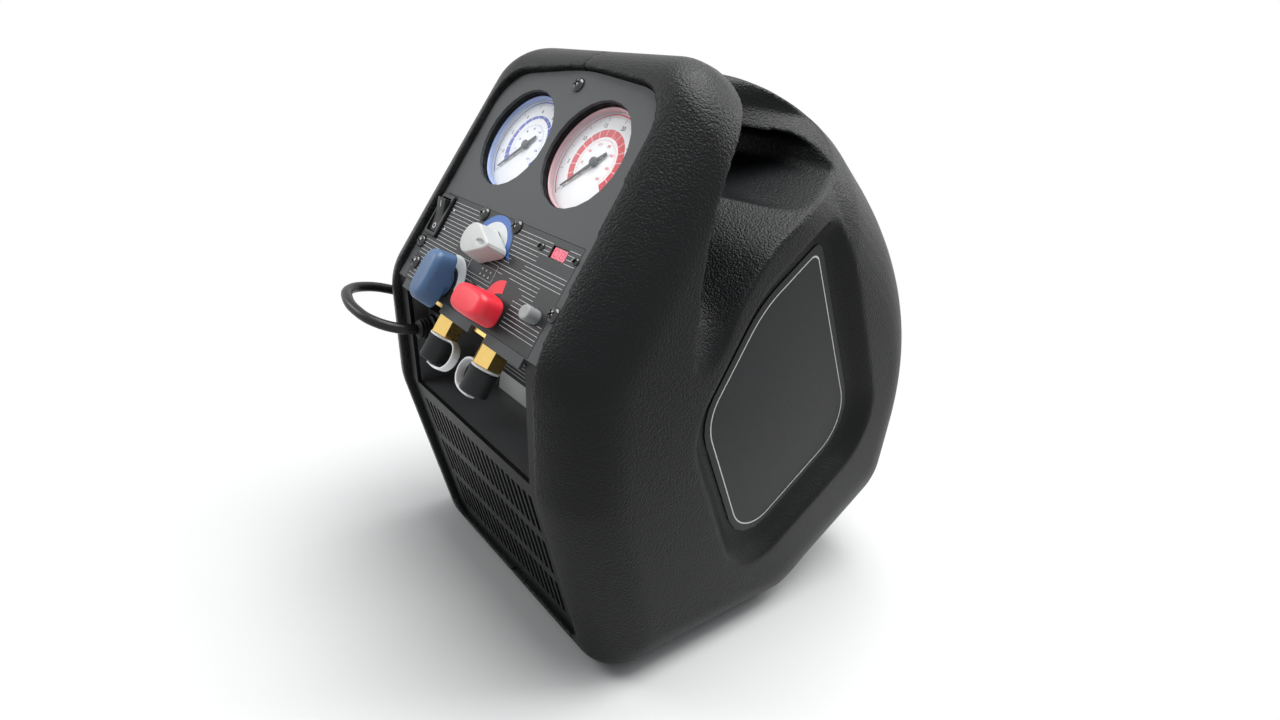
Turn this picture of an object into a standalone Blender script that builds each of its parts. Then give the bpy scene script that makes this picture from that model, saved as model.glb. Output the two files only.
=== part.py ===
"""Refrigerant recovery machine in a two-half moulded case.

Metres, +Z up, the front faces -Y. The origin is under the middle of the machine, on the floor.
While the pieces are made, y = 0 is the lower edge of the control panel; the root empty then
centres the machine.
"""
import math

import bmesh
import bpy
import numpy as np
from mathutils import Matrix, Vector
from mathutils.bvhtree import BVHTree

MM = 0.001
GAP = 0.3 * MM

# Case
CASE_HEIGHT = 364 * MM
CASE_HALF_WIDTH = 122.5 * MM
CASE_TAPER = 14.8 * MM
CASE_WALL = 3 * MM
CASE_FLOOR = 4 * MM
HANDLE_RISE = 4.5 * MM
HANDLE_END_Y = 186 * MM
SHOULDER_Y = 354 * MM
SHOULDER_Z = 271 * MM
REAR_Y = 364 * MM
REAR_CORNER_Z = 62 * MM
REAR_FOOT_Y = 275 * MM

# Front planes: sloped panel, strips beside the recess, chin with the grille
PANEL_LEAN = math.radians(25.3)
STRIP_LEAN = math.radians(9.8)
CHIN_LEAN = math.radians(22.3)
PANEL_FOOT_Z = 211 * MM
SHELF_Z = 137 * MM
RIM_DEPTH = 4.5 * MM
LEDGE_THICKNESS = 2.5 * MM
LEDGE_WIDTH = 9 * MM
OPENING_FOOT_HALF = 84.3 * MM
OPENING_SHOULDER_HALF = 76.8 * MM
OPENING_SHOULDER_S = 147.5 * MM
OPENING_TOP_S = 156.2 * MM
OPENING_CORNER_RADIUS = 26 * MM

# Hood, waist scoop, handle and hand hole
SCOOP_TIP_Z = 188 * MM
SCOOP_FULL_Z = 298 * MM
SCOOP_LIFT = 1 * MM
HANDLE_HALF_WIDTH = 21 * MM
HANDLE_THICKNESS = 29 * MM
HANDLE_EDGE = 13 * MM
HOLE_FRONT_Y = 97 * MM
HOLE_REAR_Y = 190 * MM
HOLE_FLOOR_Z = 297 * MM

# Side pocket and its label
POCKET_DEPTH = 10 * MM
POCKET_SLOPE = 17 * MM
LABEL_THICKNESS = 0.5 * MM
LABEL_INSET = 3 * MM

# Control panel and its overlay
PANEL_THICKNESS = 2 * MM
LIP_DROP = 5.5 * MM
LIP_HALF = 72 * MM
NOTCH_WIDTH = 17 * MM
OVERLAY_THICKNESS = 0.4 * MM
OVERLAY_HALF = 74.4 * MM
OVERLAY_FOOT_S = 1 * MM
OVERLAY_TOP_S = 61.5 * MM

# Gauges
GAUGE_X = 35 * MM
GAUGE_S = 108 * MM
WINDOW_RADIUS = 32 * MM
GAUGE_RADIUS = 33.6 * MM
GAUGE_DEPTH = 17 * MM
GAUGE_WALL = 1.6 * MM
DIAL_H = -9.5 * MM
LENS_H = -5.5 * MM
LENS_THICKNESS = 1.6 * MM
GAUGE_ZERO = math.radians(225)

# Controls, each by its place (x, s) on the panel
FUNCTION_AT = (-4 * MM, 41.5 * MM)
VALVE_X = 26.3 * MM
VALVE_S = 11.2 * MM
RESET_AT = (64.6 * MM, 20.6 * MM)
SWITCH_AT = (-70 * MM, 46.2 * MM)
SWITCH_NOTCH = 77.6 * MM
DISPLAY_AT = (57 * MM, 54.1 * MM)
STEM_RADIUS = 3 * MM
FUNCTION_HUB = 10.5 * MM
FUNCTION_NOSE = 21 * MM
FUNCTION_HEIGHT = 13 * MM
BAR_HALF_LENGTH = 17.2 * MM
BAR_HALF_WIDTH = 8.8 * MM
BAR_HEIGHT = 17 * MM
KNOB_LIFT = 0.8 * MM
RESET_RADIUS = 4 * MM
RESET_HEIGHT = 8 * MM
RESET_TRAVEL = 3 * MM
BEZEL_WIDTH = 15.6 * MM
BEZEL_LENGTH = 29 * MM
BEZEL_HEIGHT = 2.2 * MM
ROCKER_WIDTH = 10.4 * MM
ROCKER_LENGTH = 22.6 * MM
ROCKER_TILT = math.radians(12)
DISPLAY_WIDTH = 12.8 * MM
DISPLAY_HEIGHT = 6.4 * MM
DISPLAY_SCREW_X = 15.7 * MM
SCREW_HEAD = 4.3 * MM
SCREW_RADIUS = 1.5 * MM
SCREW_LENGTH = 6 * MM
PANEL_SCREWS = {
    "panel_screw_top": (0, 145.8 * MM),
    "panel_screw_left": (-77 * MM, 26 * MM),
    "panel_screw_right": (77 * MM, 26 * MM),
    "panel_screw_low": (-71 * MM, 12.5 * MM),
    "panel_screw_middle": (1 * MM, 15.3 * MM),
    "panel_screw_knob_left": (-24 * MM, 58 * MM),
    "panel_screw_knob_right": (12.4 * MM, 58.5 * MM),
}
LEDGE_SCREWS = ("panel_screw_top", "panel_screw_left", "panel_screw_right")

# Valves, ports and caps
PORT_H = -16 * MM
VALVE_HALF = 11 * MM
VALVE_BACK = 28 * MM
HEX_RADIUS = 9.4 * MM
HEX_TOP_S = -3 * MM
HEX_FOOT_S = -18 * MM
PORT_RADIUS = 5.5 * MM
PORT_END_S = -33 * MM
STRAP_THICKNESS = 1.6 * MM
STRAP_WIDTH = 5.5 * MM
CAP_RADIUS = 8.6 * MM
CAP_WALL = 1.8 * MM

# Recess behind the ports
TRAY_HALF = 73 * MM
TRAY_WALL = 2 * MM
TRAY_BACK_Y = 54 * MM
TRAY_BACK_RISE = 7 * MM
TRAY_TOP_Z = 204 * MM
TRAY_DROP = 1 * MM
GLAND_AT = (-63.5 * MM, 179 * MM)
GLAND_POST_FRONT_Y = 17 * MM
GLAND_POST_HALF = 8 * MM
GLAND_LENGTH = 11.5 * MM
GLAND_SHANK = 5.2 * MM

# Grille and air side
GRILLE_THICKNESS = 2.5 * MM
GRILLE_FOOT = 10 * MM
SLOT_ROWS = 3
SLOT_COLUMNS = 23
SLOT_FIELD_HALF = 71 * MM
SLOT_WIDTH = 3.6 * MM
SLOT_TOP = 12 * MM
SLOT_FOOT = 18 * MM
SLOT_BAR = 8 * MM
COIL_HALF = 68 * MM
COIL_HEIGHT = 108 * MM
COIL_DEPTH = 22 * MM
COIL_GAP = 4 * MM
COIL_TAB_FOOT = 20 * MM
FIN_COUNT = 30
FAN_RADIUS = 44 * MM
FAN_TIP_CHORD = 26 * MM
FAN_BLADES = 5
FAN_DEPTH = 11 * MM
FAN_CLEARANCE = 2 * MM

# Machinery on the base plate
BASE_THICKNESS = 2 * MM
BASE_HALF = 84 * MM
MOTOR_RADIUS = 40 * MM
MOTOR_FRONT_Y = 132 * MM
MOTOR_LENGTH = 72 * MM
SHAFT_Z = 66 * MM
PUMP_LENGTH = 56 * MM
PUMP_HALF = 30 * MM
HEAD_REACH = 74 * MM
FOOT_RADIUS = 12 * MM
FOOT_X = 72 * MM
FOOT_FRONT_Y = 105 * MM
FOOT_REAR_Y = 228 * MM

# Rear air inlet
INLET_HALF = 52 * MM
INLET_Z = 112 * MM
INLET_HALF_HEIGHT = 30 * MM
INLET_SLOTS = 6

# Mains cord
CORD_RADIUS = 3.5 * MM
CORD_COIL_AT = (-185.9 * MM, 232 * MM)
CORD_COIL_OUTER = 46.5 * MM
CORD_COIL_INNER = 30.5 * MM
CORD_COIL_HEIGHT = 21.6 * MM
CORD_FLOOR_Z = 4.2 * MM
CORD_COIL_TOUCH = CORD_COIL_OUTER + CORD_RADIUS + GAP
CORD_JOIN_ANGLE = math.radians(-12)


def material(name, colour, roughness, metallic=0.0, alpha=1.0):
    """Principled material with the piece's own colour."""
    made = bpy.data.materials.new(name)
    made.use_nodes = True
    shader = made.node_tree.nodes["Principled BSDF"]
    shader.inputs["Base Color"].default_value = (*colour, 1)
    shader.inputs["Roughness"].default_value = roughness
    shader.inputs["Metallic"].default_value = metallic
    shader.inputs["Alpha"].default_value = alpha
    return made


def empty(name, location=(0, 0, 0), tilt=0.0, parent=None):
    """Frame for other pieces, turned about X by a tilt."""
    made = bpy.data.objects.new(name, None)
    made.location = location
    made.rotation_euler = (tilt, 0, 0)
    made.parent = parent
    bpy.context.scene.collection.objects.link(made)
    return made


def add(name, mesh, surface, parent, at=(0, 0, 0), crease=35):
    """Object from a bmesh, smooth across shallow edges."""
    bmesh.ops.recalc_face_normals(mesh, faces=mesh.faces)
    data = bpy.data.meshes.new(name)
    mesh.to_mesh(data)
    mesh.free()
    data.shade_smooth()
    data.set_sharp_from_angle(angle=math.radians(crease))
    data.materials.append(surface)
    made = bpy.data.objects.new(name, data)
    made.location = at
    made.parent = parent
    bpy.context.scene.collection.objects.link(made)
    return made


def loft(loops, capped=True, ring=False):
    """Closed skin through loops of equal length, with flat ends, or joined round as a ring."""
    mesh = bmesh.new()
    rows = [[mesh.verts.new(point) for point in loop] for loop in loops]
    count = len(rows[0])
    pairs = list(zip(rows, rows[1:]))
    if ring:
        pairs.append((rows[-1], rows[0]))
    for low, high in pairs:
        for i in range(count):
            j = (i + 1) % count
            mesh.faces.new((low[i], low[j], high[j], high[i]))
    if capped and not ring:
        mesh.faces.new(rows[0][::-1])
        mesh.faces.new(rows[-1])
    return mesh


def circle(radius, height, segments, centre=(0, 0), phase=0.0):
    """Round loop at one height."""
    return [(centre[0] + radius * math.cos(phase + math.tau * i / segments),
             centre[1] + radius * math.sin(phase + math.tau * i / segments), height)
            for i in range(segments)]


def faceted(mesh):
    """Split bent faces into triangles, because a Boolean needs flat ones."""
    bmesh.ops.recalc_face_normals(mesh, faces=mesh.faces)
    bent = []
    for face in mesh.faces:
        centre = face.calc_center_median()
        if any(abs((vert.co - centre).dot(face.normal)) > 0.001 * MM for vert in face.verts):
            bent.append(face)
    bmesh.ops.triangulate(mesh, faces=bent)
    return mesh


def turned(profile, segments=24, ring=False):
    """Solid of revolution about Z from (radius, height) pairs."""
    return loft([circle(radius, height, segments) for radius, height in profile], ring=ring)


def hole(radius, low, high, segments=8):
    """Tool for a round hole, with its flats at the radius."""
    reach = radius / math.cos(math.pi / segments)
    return turned([(reach, low), (reach, high)], segments)


def prism(outline, low, high):
    """Straight solid on a flat outline."""
    return loft([[(x, y, z) for x, y in outline] for z in (low, high)])


def box(x0, x1, y0, y1, z0, z1):
    return prism([(x0, y0), (x1, y0), (x1, y1), (x0, y1)], z0, z1)


def joined(meshes):
    """One bmesh that holds several."""
    whole = bmesh.new()
    for mesh in meshes:
        data = bpy.data.meshes.new("joined")
        mesh.to_mesh(data)
        mesh.free()
        whole.from_mesh(data)
        bpy.data.meshes.remove(data)
    return whole


def turn_side(mesh):
    """Lay a solid made along Z so that it runs along X, its (x, y) as (y, z)."""
    bmesh.ops.transform(mesh, verts=mesh.verts, matrix=Matrix(((0, 0, 1, 0), (1, 0, 0, 0),
                                                               (0, 1, 0, 0), (0, 0, 0, 1))))
    return mesh


def turn_down(mesh):
    """Turn a solid made along Z so that it runs down the panel, along -Y."""
    bmesh.ops.rotate(mesh, verts=mesh.verts, matrix=Matrix.Rotation(math.pi / 2, 3, "X"))
    return mesh


def shift(mesh, offset):
    bmesh.ops.translate(mesh, verts=mesh.verts, vec=offset)
    return mesh


def boolean(target, tool, operation):
    tool.hide_render = True
    tool.display_type = "WIRE"
    step = target.modifiers.new(tool.name, "BOOLEAN")
    step.operation = operation
    step.solver = "EXACT"
    step.object = tool


def cut(target, name, mesh, parent, at=(0, 0, 0)):
    """Boolean difference with a hidden tool, which several pieces can share."""
    tool = bpy.data.objects.get(name) or add(name, mesh, target.data.materials[0], parent, at)
    boolean(target, tool, "DIFFERENCE")
    return tool


def unite(target, name, mesh, parent, at=(0, 0, 0)):
    tool = add(name, mesh, target.data.materials[0], parent, at)
    boolean(target, tool, "UNION")


def smooth(t):
    t = min(max(t, 0.0), 1.0)
    return t * t * (3 - 2 * t)


def meet(p, along_p, q, along_q):
    """Point where two lines in a plane cross."""
    cross = along_p.x * along_q.y - along_p.y * along_q.x
    between = q - p
    return p + along_p * ((between.x * along_q.y - between.y * along_q.x) / cross)


def inset_corners(corners, distances):
    """Corners of a polygon whose edges move inward, each by one distance or by a (start, end) pair."""
    count = len(corners)
    area = sum(corners[i].cross(corners[(i + 1) % count]) for i in range(count))
    lines = []
    for i in range(count):
        start, end = corners[i], corners[(i + 1) % count]
        along = (end - start).normalized()
        inward = Vector((-along.y, along.x)) * math.copysign(1, area)
        first, last = distances[i] if isinstance(distances[i], tuple) else (distances[i], distances[i])
        moved = start + inward * first
        lines.append((moved, (end + inward * last - moved).normalized()))
    return [meet(*lines[i - 1], *lines[i]) for i in range(count)]


def round_corners(corners, radii, steps, splits=None):
    """Outline with each corner as an arc, and each straight run split into equal lengths."""
    count = len(corners)
    counts = steps if isinstance(steps, list) else [steps] * count
    arcs = []
    for i in range(count):
        here = corners[i]
        back = (corners[i - 1] - here).normalized()
        ahead = (corners[(i + 1) % count] - here).normalized()
        half = back.angle(ahead) / 2
        centre = here + (back + ahead).normalized() * (radii[i] / math.sin(half))
        start = here + back * (radii[i] / math.tan(half)) - centre
        turn = -math.copysign(math.pi - 2 * half, back.cross(ahead))
        arcs.append([centre + Matrix.Rotation(turn * k / counts[i], 2) @ start
                     for k in range(counts[i] + 1)])
    outline = []
    for i in range(count):
        outline += arcs[i]
        pieces = splits[i] if splits else 1
        last, first = arcs[i][-1], arcs[(i + 1) % count][0]
        outline += [last.lerp(first, k / pieces) for k in range(1, pieces)]
    return outline


def fitting_radii(corners, radii):
    """Corner radii, made smaller where two arcs would meet on a short edge."""
    count = len(corners)
    fitting = []
    for i, radius in enumerate(radii):
        back, ahead = corners[i - 1] - corners[i], corners[(i + 1) % count] - corners[i]
        room = 0.48 * min(back.length, ahead.length) * math.tan(back.angle(ahead) / 2)
        fitting.append(min(radius, room))
    return fitting


def flat(outline):
    """The points of an outline as plain pairs."""
    return [tuple(point) for point in outline]


# Shape of the case

def front_corners(depth):
    """Corners (y, z) of the front profile, a depth in front of the plates' faces."""
    ups = [Vector((-math.sin(CHIN_LEAN), math.cos(CHIN_LEAN))),
           Vector((-math.sin(STRIP_LEAN), math.cos(STRIP_LEAN))),
           Vector((math.sin(PANEL_LEAN), math.cos(PANEL_LEAN)))]
    panel_foot = Vector((0, PANEL_FOOT_Z))
    shelf = Vector((math.tan(STRIP_LEAN) * (PANEL_FOOT_Z - SHELF_Z), SHELF_Z))
    lines = []
    for point, up in zip((shelf, shelf, panel_foot), ups):
        lines.append((point + Vector((-up.y, up.x)) * depth, up))
    level = Vector((1, 0))
    return [meet(*lines[0], Vector((0, CASE_FLOOR)), level), meet(*lines[0], *lines[1]),
            meet(*lines[1], *lines[2]), meet(*lines[2], Vector((0, CASE_HEIGHT)), level)]


CASE_RADII = [16 * MM, 60 * MM, 45 * MM, 30 * MM, 106 * MM, 262 * MM, 43 * MM, 100 * MM]
CASE_EDGES = [(36 * MM, 36 * MM), (37 * MM, 37 * MM), (38 * MM, 38 * MM), (50 * MM, 98 * MM),
              (79 * MM, 79 * MM), (55 * MM, 55 * MM), (66 * MM, 66 * MM), (34 * MM, 34 * MM)]
CASE_STEPS = [4, 4, 4, 4, 4, 8, 4, 4]
CORE_RADIUS = 12 * MM


def case_corners():
    """Corners (y, z) of the case from the side, from the front foot up and round to the rear foot."""
    return front_corners(RIM_DEPTH) + [
        Vector((HANDLE_END_Y, CASE_HEIGHT + HANDLE_RISE)), Vector((SHOULDER_Y, SHOULDER_Z)),
        Vector((REAR_Y, REAR_CORNER_Z)), Vector((REAR_FOOT_Y, CASE_FLOOR))]


def half_width(z):
    """Half width of the case, which narrows toward the top."""
    return CASE_HALF_WIDTH - CASE_TAPER * (z / CASE_HEIGHT) ** 2


def case_form(seam_x, wall=0.0, front_wall=0.0, share=1.0, longest=45 * MM, edge_steps=4):
    """Solid half of the case: the side outline, a rounded edge all round, and a flat seam side."""
    walls = [front_wall] * 3 + [wall] * 5
    corners = case_corners()
    count = len(corners)
    steps = [max(2, round(number * share)) for number in CASE_STEPS]
    splits = [max(1, round((corners[(i + 1) % count] - corners[i]).length / longest) - 1) for i in range(count)]
    radii = [max(radius - max(walls[i], walls[i - 1]), 4 * MM) for i, radius in enumerate(CASE_RADII)]
    outer = round_corners(inset_corners(corners, walls), radii, steps, splits)
    core_radii = [max(radius - max(CASE_EDGES[i][0], CASE_EDGES[i - 1][1]), CORE_RADIUS)
                  for i, radius in enumerate(CASE_RADII)]
    core_corners = inset_corners(corners, CASE_EDGES)
    core = round_corners(core_corners, fitting_radii(core_corners, core_radii), steps, splits)
    edges = []
    for i in range(count):
        before = CASE_EDGES[i - 1][1] - walls[i - 1]
        here, ahead = (edge - walls[i] for edge in CASE_EDGES[i])
        edges += [before + (here - before) * k / steps[i] for k in range(steps[i] + 1)]
        edges += [here + (ahead - here) * k / splits[i] for k in range(1, splits[i])]
    loops = [[(seam_x, *point) for point in outer]]
    for step in range(edge_steps + 1):
        turn = math.pi / 2 * step / edge_steps
        loop = []
        for point, inner, radius in zip(outer, core, edges):
            y, z = point.lerp(inner, 1 - math.cos(turn))
            loop.append((half_width(z) - wall - radius * (1 - math.sin(turn)), y, z))
        loops.append(loop)
    hub = sum(core, Vector((0, 0))) / len(core)
    for part in (0.45, 0.8):
        loop = []
        for point in core:
            y, z = point.lerp(hub, part)
            loop.append((half_width(z) - wall, y, z))
        loops.append(loop)
    return faceted(loft(loops))


def case_surface():
    """Search tree of the case's outside, before anything is cut from it."""
    mesh = case_form(0)
    tree = BVHTree.FromBMesh(mesh)
    mesh.free()
    return tree


def half_at(tree, y, z):
    """Half width of the case's outside at a place in the side view, rounded edge and all."""
    top = handle_top(y) - 8 * MM
    hit = tree.ray_cast(Vector((CASE_HALF_WIDTH * 2, y, min(z, top))), Vector((-1, 0, 0)))[0]
    return hit.x if hit else half_width(z)


HOOD_CREASE = [(SCOOP_TIP_Z, 84 * MM), (203 * MM, 78.5 * MM), (236 * MM, 73.5 * MM), (268 * MM, 71.5 * MM),
               (290 * MM, 72.8 * MM), (306 * MM, 75.5 * MM), (322 * MM, 81 * MM), (336 * MM, 89 * MM),
               (346 * MM, 97 * MM), (376 * MM, 102 * MM)]
SHELL_CREASE = [(SCOOP_TIP_Z, 87 * MM), (220 * MM, 97 * MM), (248 * MM, 105 * MM), (262 * MM, 112.5 * MM),
                (276 * MM, 122.5 * MM), (289 * MM, 137 * MM), (301 * MM, 154 * MM), (311 * MM, 171 * MM),
                (320 * MM, 185 * MM), (331 * MM, 194 * MM), (342 * MM, 199 * MM), (354 * MM, 200 * MM),
                (376 * MM, 192 * MM)]


def crease_at(crease, z):
    """Edge of the scoop, as y at a height, curved through its own points."""
    heights = [height for height, _ in crease]
    depths = [depth for _, depth in crease]
    spans = np.diff(depths) / np.diff(heights)
    slopes = np.concatenate([spans[:1], (spans[:-1] + spans[1:]) / 2, spans[-1:]])
    k = min(max(int(np.searchsorted(heights, z)) - 1, 0), len(heights) - 2)
    step = heights[k + 1] - heights[k]
    t = (z - heights[k]) / step
    rise = t * t * (3 - 2 * t)
    return float(depths[k] * (1 - rise) + depths[k + 1] * rise
                 + step * (slopes[k] * t * (1 - t) ** 2 - slopes[k + 1] * t * t * (1 - t)))


def handle_top(y):
    """Height of the handle's top edge at a depth, from the case's own corners."""
    rise = min(max((y - 70 * MM) / (HANDLE_END_Y - 70 * MM), 0), 1)
    return CASE_HEIGHT + HANDLE_RISE * rise


def scoop_floor(y, z, share, wall, outside):
    """Half width left by the scoop: the handle's side, rising to the shell's crease."""
    depth = smooth((z - SCOOP_TIP_Z) / (SCOOP_FULL_Z - SCOOP_TIP_Z)) ** 2
    ramp = 1 - math.cos(math.pi / 2 * max(0.0, (share - 0.35) / 0.65))
    inner = HANDLE_HALF_WIDTH
    under_top = handle_top(y) - z
    if under_top < HANDLE_EDGE:
        past = min(1 - under_top / HANDLE_EDGE, 1)
        inner -= HANDLE_EDGE * (1 - math.sqrt(1 - past ** 2))
    return outside - depth * (outside - inner) * (1 - ramp) - wall


def scoop_form(wall=0.0, rows=12, columns=7):
    """Tool that scoops out the waist behind the hood, down to the handle."""
    outer_x = CASE_HALF_WIDTH + 20 * MM
    top = CASE_HEIGHT + 10 * MM
    tree = case_surface()
    mesh = bmesh.new()
    floor, lid = [], []
    for row in range(rows + 1):
        z = SCOOP_TIP_Z + (top - SCOOP_TIP_Z) * row / rows
        start = crease_at(HOOD_CREASE, z) - wall
        end = crease_at(SHELL_CREASE, z) + wall
        outside = half_at(tree, end - wall, z) + SCOOP_LIFT
        floor.append([])
        lid.append([])
        for column in range(columns + 1):
            share = column / columns
            y = start + (end - start) * share
            floor[-1].append(mesh.verts.new((scoop_floor(y, z, share, wall, outside), y, z)))
            lid[-1].append(mesh.verts.new((outer_x, y, z)))
    for sheet in (floor, lid):
        for row in range(rows):
            for column in range(columns):
                mesh.faces.new((sheet[row][column], sheet[row][column + 1],
                                sheet[row + 1][column + 1], sheet[row + 1][column]))
    for row in range(rows):
        for column in (0, columns):
            mesh.faces.new((floor[row][column], floor[row + 1][column],
                            lid[row + 1][column], lid[row][column]))
    for column in range(columns):
        for row in (0, rows):
            mesh.faces.new((floor[row][column], floor[row][column + 1],
                            lid[row][column + 1], lid[row][column]))
    return mesh


def hole_form(wall=0.0):
    """Tool for the hand hole, right through under the handle."""
    corners = [Vector((HOLE_FRONT_Y, HOLE_FLOOR_Z)), Vector((145 * MM, HOLE_FLOOR_Z)),
               Vector((HOLE_REAR_Y, 322 * MM)),
               Vector((HOLE_REAR_Y, handle_top(HOLE_REAR_Y) - HANDLE_THICKNESS)),
               Vector((HOLE_FRONT_Y, handle_top(HOLE_FRONT_Y) - HANDLE_THICKNESS))]
    corners = inset_corners(corners, [-wall] * len(corners))
    radii = [12 * MM, 25 * MM, 7 * MM, 7 * MM, 12 * MM]
    outline = flat(round_corners(corners, radii, 4))
    return turn_side(prism(outline, -CASE_HALF_WIDTH, CASE_HALF_WIDTH))


POCKET_CORNERS = [Vector((184 * MM, 312 * MM)), Vector((303 * MM, 142 * MM)), Vector((160 * MM, 40 * MM)),
                  Vector((78 * MM, 172 * MM)), Vector((118 * MM, 256 * MM))]
POCKET_RADII = [16 * MM, 48 * MM, 42 * MM, 45 * MM, 90 * MM]


def pocket_outline(inset, steps=5):
    """Outline (y, z) of the side pocket, inside its rim by a distance."""
    corners = inset_corners(POCKET_CORNERS, [inset] * len(POCKET_CORNERS))
    radii = [max(radius - inset * 0.6, 6 * MM) for radius in POCKET_RADII]
    return flat(round_corners(corners, radii, steps))


def pocket_floor(z):
    """Half width at the pocket's flat floor."""
    low, high = POCKET_CORNERS[2].y, POCKET_CORNERS[0].y
    share = (z - low) / (high - low)
    return half_width(low) + (half_width(high) - half_width(low)) * share - POCKET_DEPTH


def pocket_form(wall=0.0, rows=4, steps=5):
    """Tool for the side pocket, whose walls slope softly down to a flat floor."""
    loops = [[(CASE_HALF_WIDTH + 20 * MM, y, z) for y, z in pocket_outline(-wall, steps)]]
    for row in range(rows + 1):
        share = row / rows
        loop = []
        for y, z in pocket_outline(POCKET_SLOPE * share - wall, steps):
            rim = half_width(z) + SCOOP_LIFT
            loop.append((rim + (pocket_floor(z) - rim) * smooth(share) - wall, y, z))
        loops.append(loop)
    return faceted(loft(loops))


def panel_outline(inset, foot_s=0.0, steps=5):
    """Arched outline (x, s) of the panel opening."""
    foot = OPENING_FOOT_HALF
    corners = [Vector((-foot, 0)), Vector((foot, 0)), Vector((OPENING_SHOULDER_HALF, OPENING_SHOULDER_S)),
               Vector((0, OPENING_TOP_S)), Vector((-OPENING_SHOULDER_HALF, OPENING_SHOULDER_S))]
    corners = inset_corners(corners, [-foot_s] + [inset] * 4)
    radii = [0.5 * MM, 0.5 * MM, OPENING_CORNER_RADIUS - inset, 160 * MM, OPENING_CORNER_RADIUS - inset]
    return flat(round_corners(corners, radii, steps))


def front_plate(columns, rows, present, back, front):
    """Plate that follows the front's bends: cells between columns (x) and rows (profile corners)."""
    mesh = bmesh.new()
    grids = []
    for depth in (back, front):
        profile = front_corners(depth)
        levels = [row(profile) for row in rows]
        grids.append([[mesh.verts.new((x, y, z)) for x in line] for line, (y, z) in zip(columns, levels)])
    edges = {}
    for row in range(len(rows) - 1):
        for column in range(len(columns[0]) - 1):
            if (row, column) not in present:
                continue
            ring = [(row, column), (row, column + 1), (row + 1, column + 1), (row + 1, column)]
            for grid in grids:
                mesh.faces.new([grid[r][c] for r, c in ring])
            for start, end in zip(ring, ring[1:] + ring[:1]):
                key = tuple(sorted((start, end)))
                edges[key] = edges.get(key, 0) + 1
    for (start, end), uses in edges.items():
        if uses == 1:
            mesh.faces.new([grids[0][start[0]][start[1]], grids[0][end[0]][end[1]],
                            grids[1][end[0]][end[1]], grids[1][start[0]][start[1]]])
    loose = [vert for vert in mesh.verts if not vert.link_faces]
    bmesh.ops.delete(mesh, geom=loose, context="VERTS")
    return mesh


def between(low, high, share):
    """Row of a front plate, part way between two corners of the profile."""
    return lambda profile: profile[low].lerp(profile[high], share)


def lower_opening(inset, back, front, name):
    """Tool for the opening round the recess and the chin."""
    half = OPENING_FOOT_HALF - inset
    foot_half = half - 10 * MM
    chin = (front_corners(0)[1] - front_corners(0)[0]).length
    foot_share = (GRILLE_FOOT - GAP + inset) / chin
    corner_share = foot_share + 12 * MM / chin
    columns = [[-foot_half, foot_half], [-half, half], [-half, half], [-half, half], [-half, half]]
    rows = [between(0, 1, foot_share), between(0, 1, corner_share), between(1, 1, 0), between(2, 2, 0),
            between(2, 3, 0.05)]
    mesh = front_plate(columns, rows, {(0, 0), (1, 0), (2, 0), (3, 0)}, back, front)
    return name, mesh


def make_case(root, panel_frame, rear_frame, black):
    """Right half cut from the solid form, and the left half as its mirror image."""
    plate_back = -(PANEL_THICKNESS + GAP)
    ledge_back = plate_back - LEDGE_THICKNESS
    tools = [("cavity_tool", None), ("scoop_tool", scoop_form()), ("pocket_tool", pocket_form()),
             ("hole_tool", hole_form())]
    cavity = add("cavity_tool", case_form(-10 * MM, CASE_WALL, RIM_DEPTH - ledge_back, 0.5, 90 * MM, 2),
                 black, root)
    cut(cavity, "scoop_wall_tool", scoop_form(CASE_WALL), root)
    cut(cavity, "pocket_wall_tool", pocket_form(CASE_WALL, 2, 3), root)
    cut(cavity, "hole_wall_tool", hole_form(CASE_WALL), root)
    case = add("case_right", case_form(GAP / 2), black, root)
    for name, mesh in tools:
        if mesh is None:
            boolean(case, cavity, "DIFFERENCE")
        else:
            cut(case, name, mesh, root)
    cut(case, "panel_seat_tool", prism(panel_outline(0), plate_back, 30 * MM), panel_frame)
    cut(case, "panel_hole_tool", prism(panel_outline(LEDGE_WIDTH, -1 * MM), ledge_back - 3 * MM, 30 * MM),
        panel_frame)
    cut(case, *lower_opening(0, plate_back - 0.7 * MM, 30 * MM, "chin_seat_tool"), root)
    cut(case, *lower_opening(LEDGE_WIDTH, ledge_back - 4 * MM, 30 * MM, "chin_hole_tool"), root)
    cut(case, "ledge_notch_tool", box(60 * MM, SWITCH_NOTCH, SWITCH_AT[1] - BEZEL_LENGTH / 2 - 1 * MM,
                                      SWITCH_AT[1] + BEZEL_LENGTH / 2 + 1 * MM, ledge_back - 5 * MM, 0),
        panel_frame)
    for name in LEDGE_SCREWS:
        x, s = PANEL_SCREWS[name]
        cut(case, name + "_bore", hole(SCREW_RADIUS + GAP, -SCREW_LENGTH - 1 * MM, 2 * MM), panel_frame,
            (x, s, 0))
    cut(case, "rear_opening_tool", box(-INLET_HALF, INLET_HALF, -20 * MM, 20 * MM, -INLET_HALF_HEIGHT,
                                       INLET_HALF_HEIGHT), rear_frame)
    return case


def mirror_half(case, root, black):
    """Left half, from the evaluated right half."""
    bpy.context.view_layer.update()
    evaluated = case.evaluated_get(bpy.context.evaluated_depsgraph_get())
    mesh = bmesh.new()
    mesh.from_mesh(evaluated.to_mesh())
    bmesh.ops.scale(mesh, verts=mesh.verts, vec=(-1, 1, 1))
    bmesh.ops.reverse_faces(mesh, faces=mesh.faces)
    evaluated.to_mesh_clear()
    return add("case_left", mesh, black, root)


def make_label(side, root, surface):
    """Flat label on the pocket's floor."""
    outline = pocket_outline(POCKET_SLOPE + LABEL_INSET, 4)
    loops = []
    for lift in (GAP, GAP + LABEL_THICKNESS):
        loops.append([(side * (pocket_floor(z) + lift), y, z) for y, z in outline])
    return loft(loops)


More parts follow.
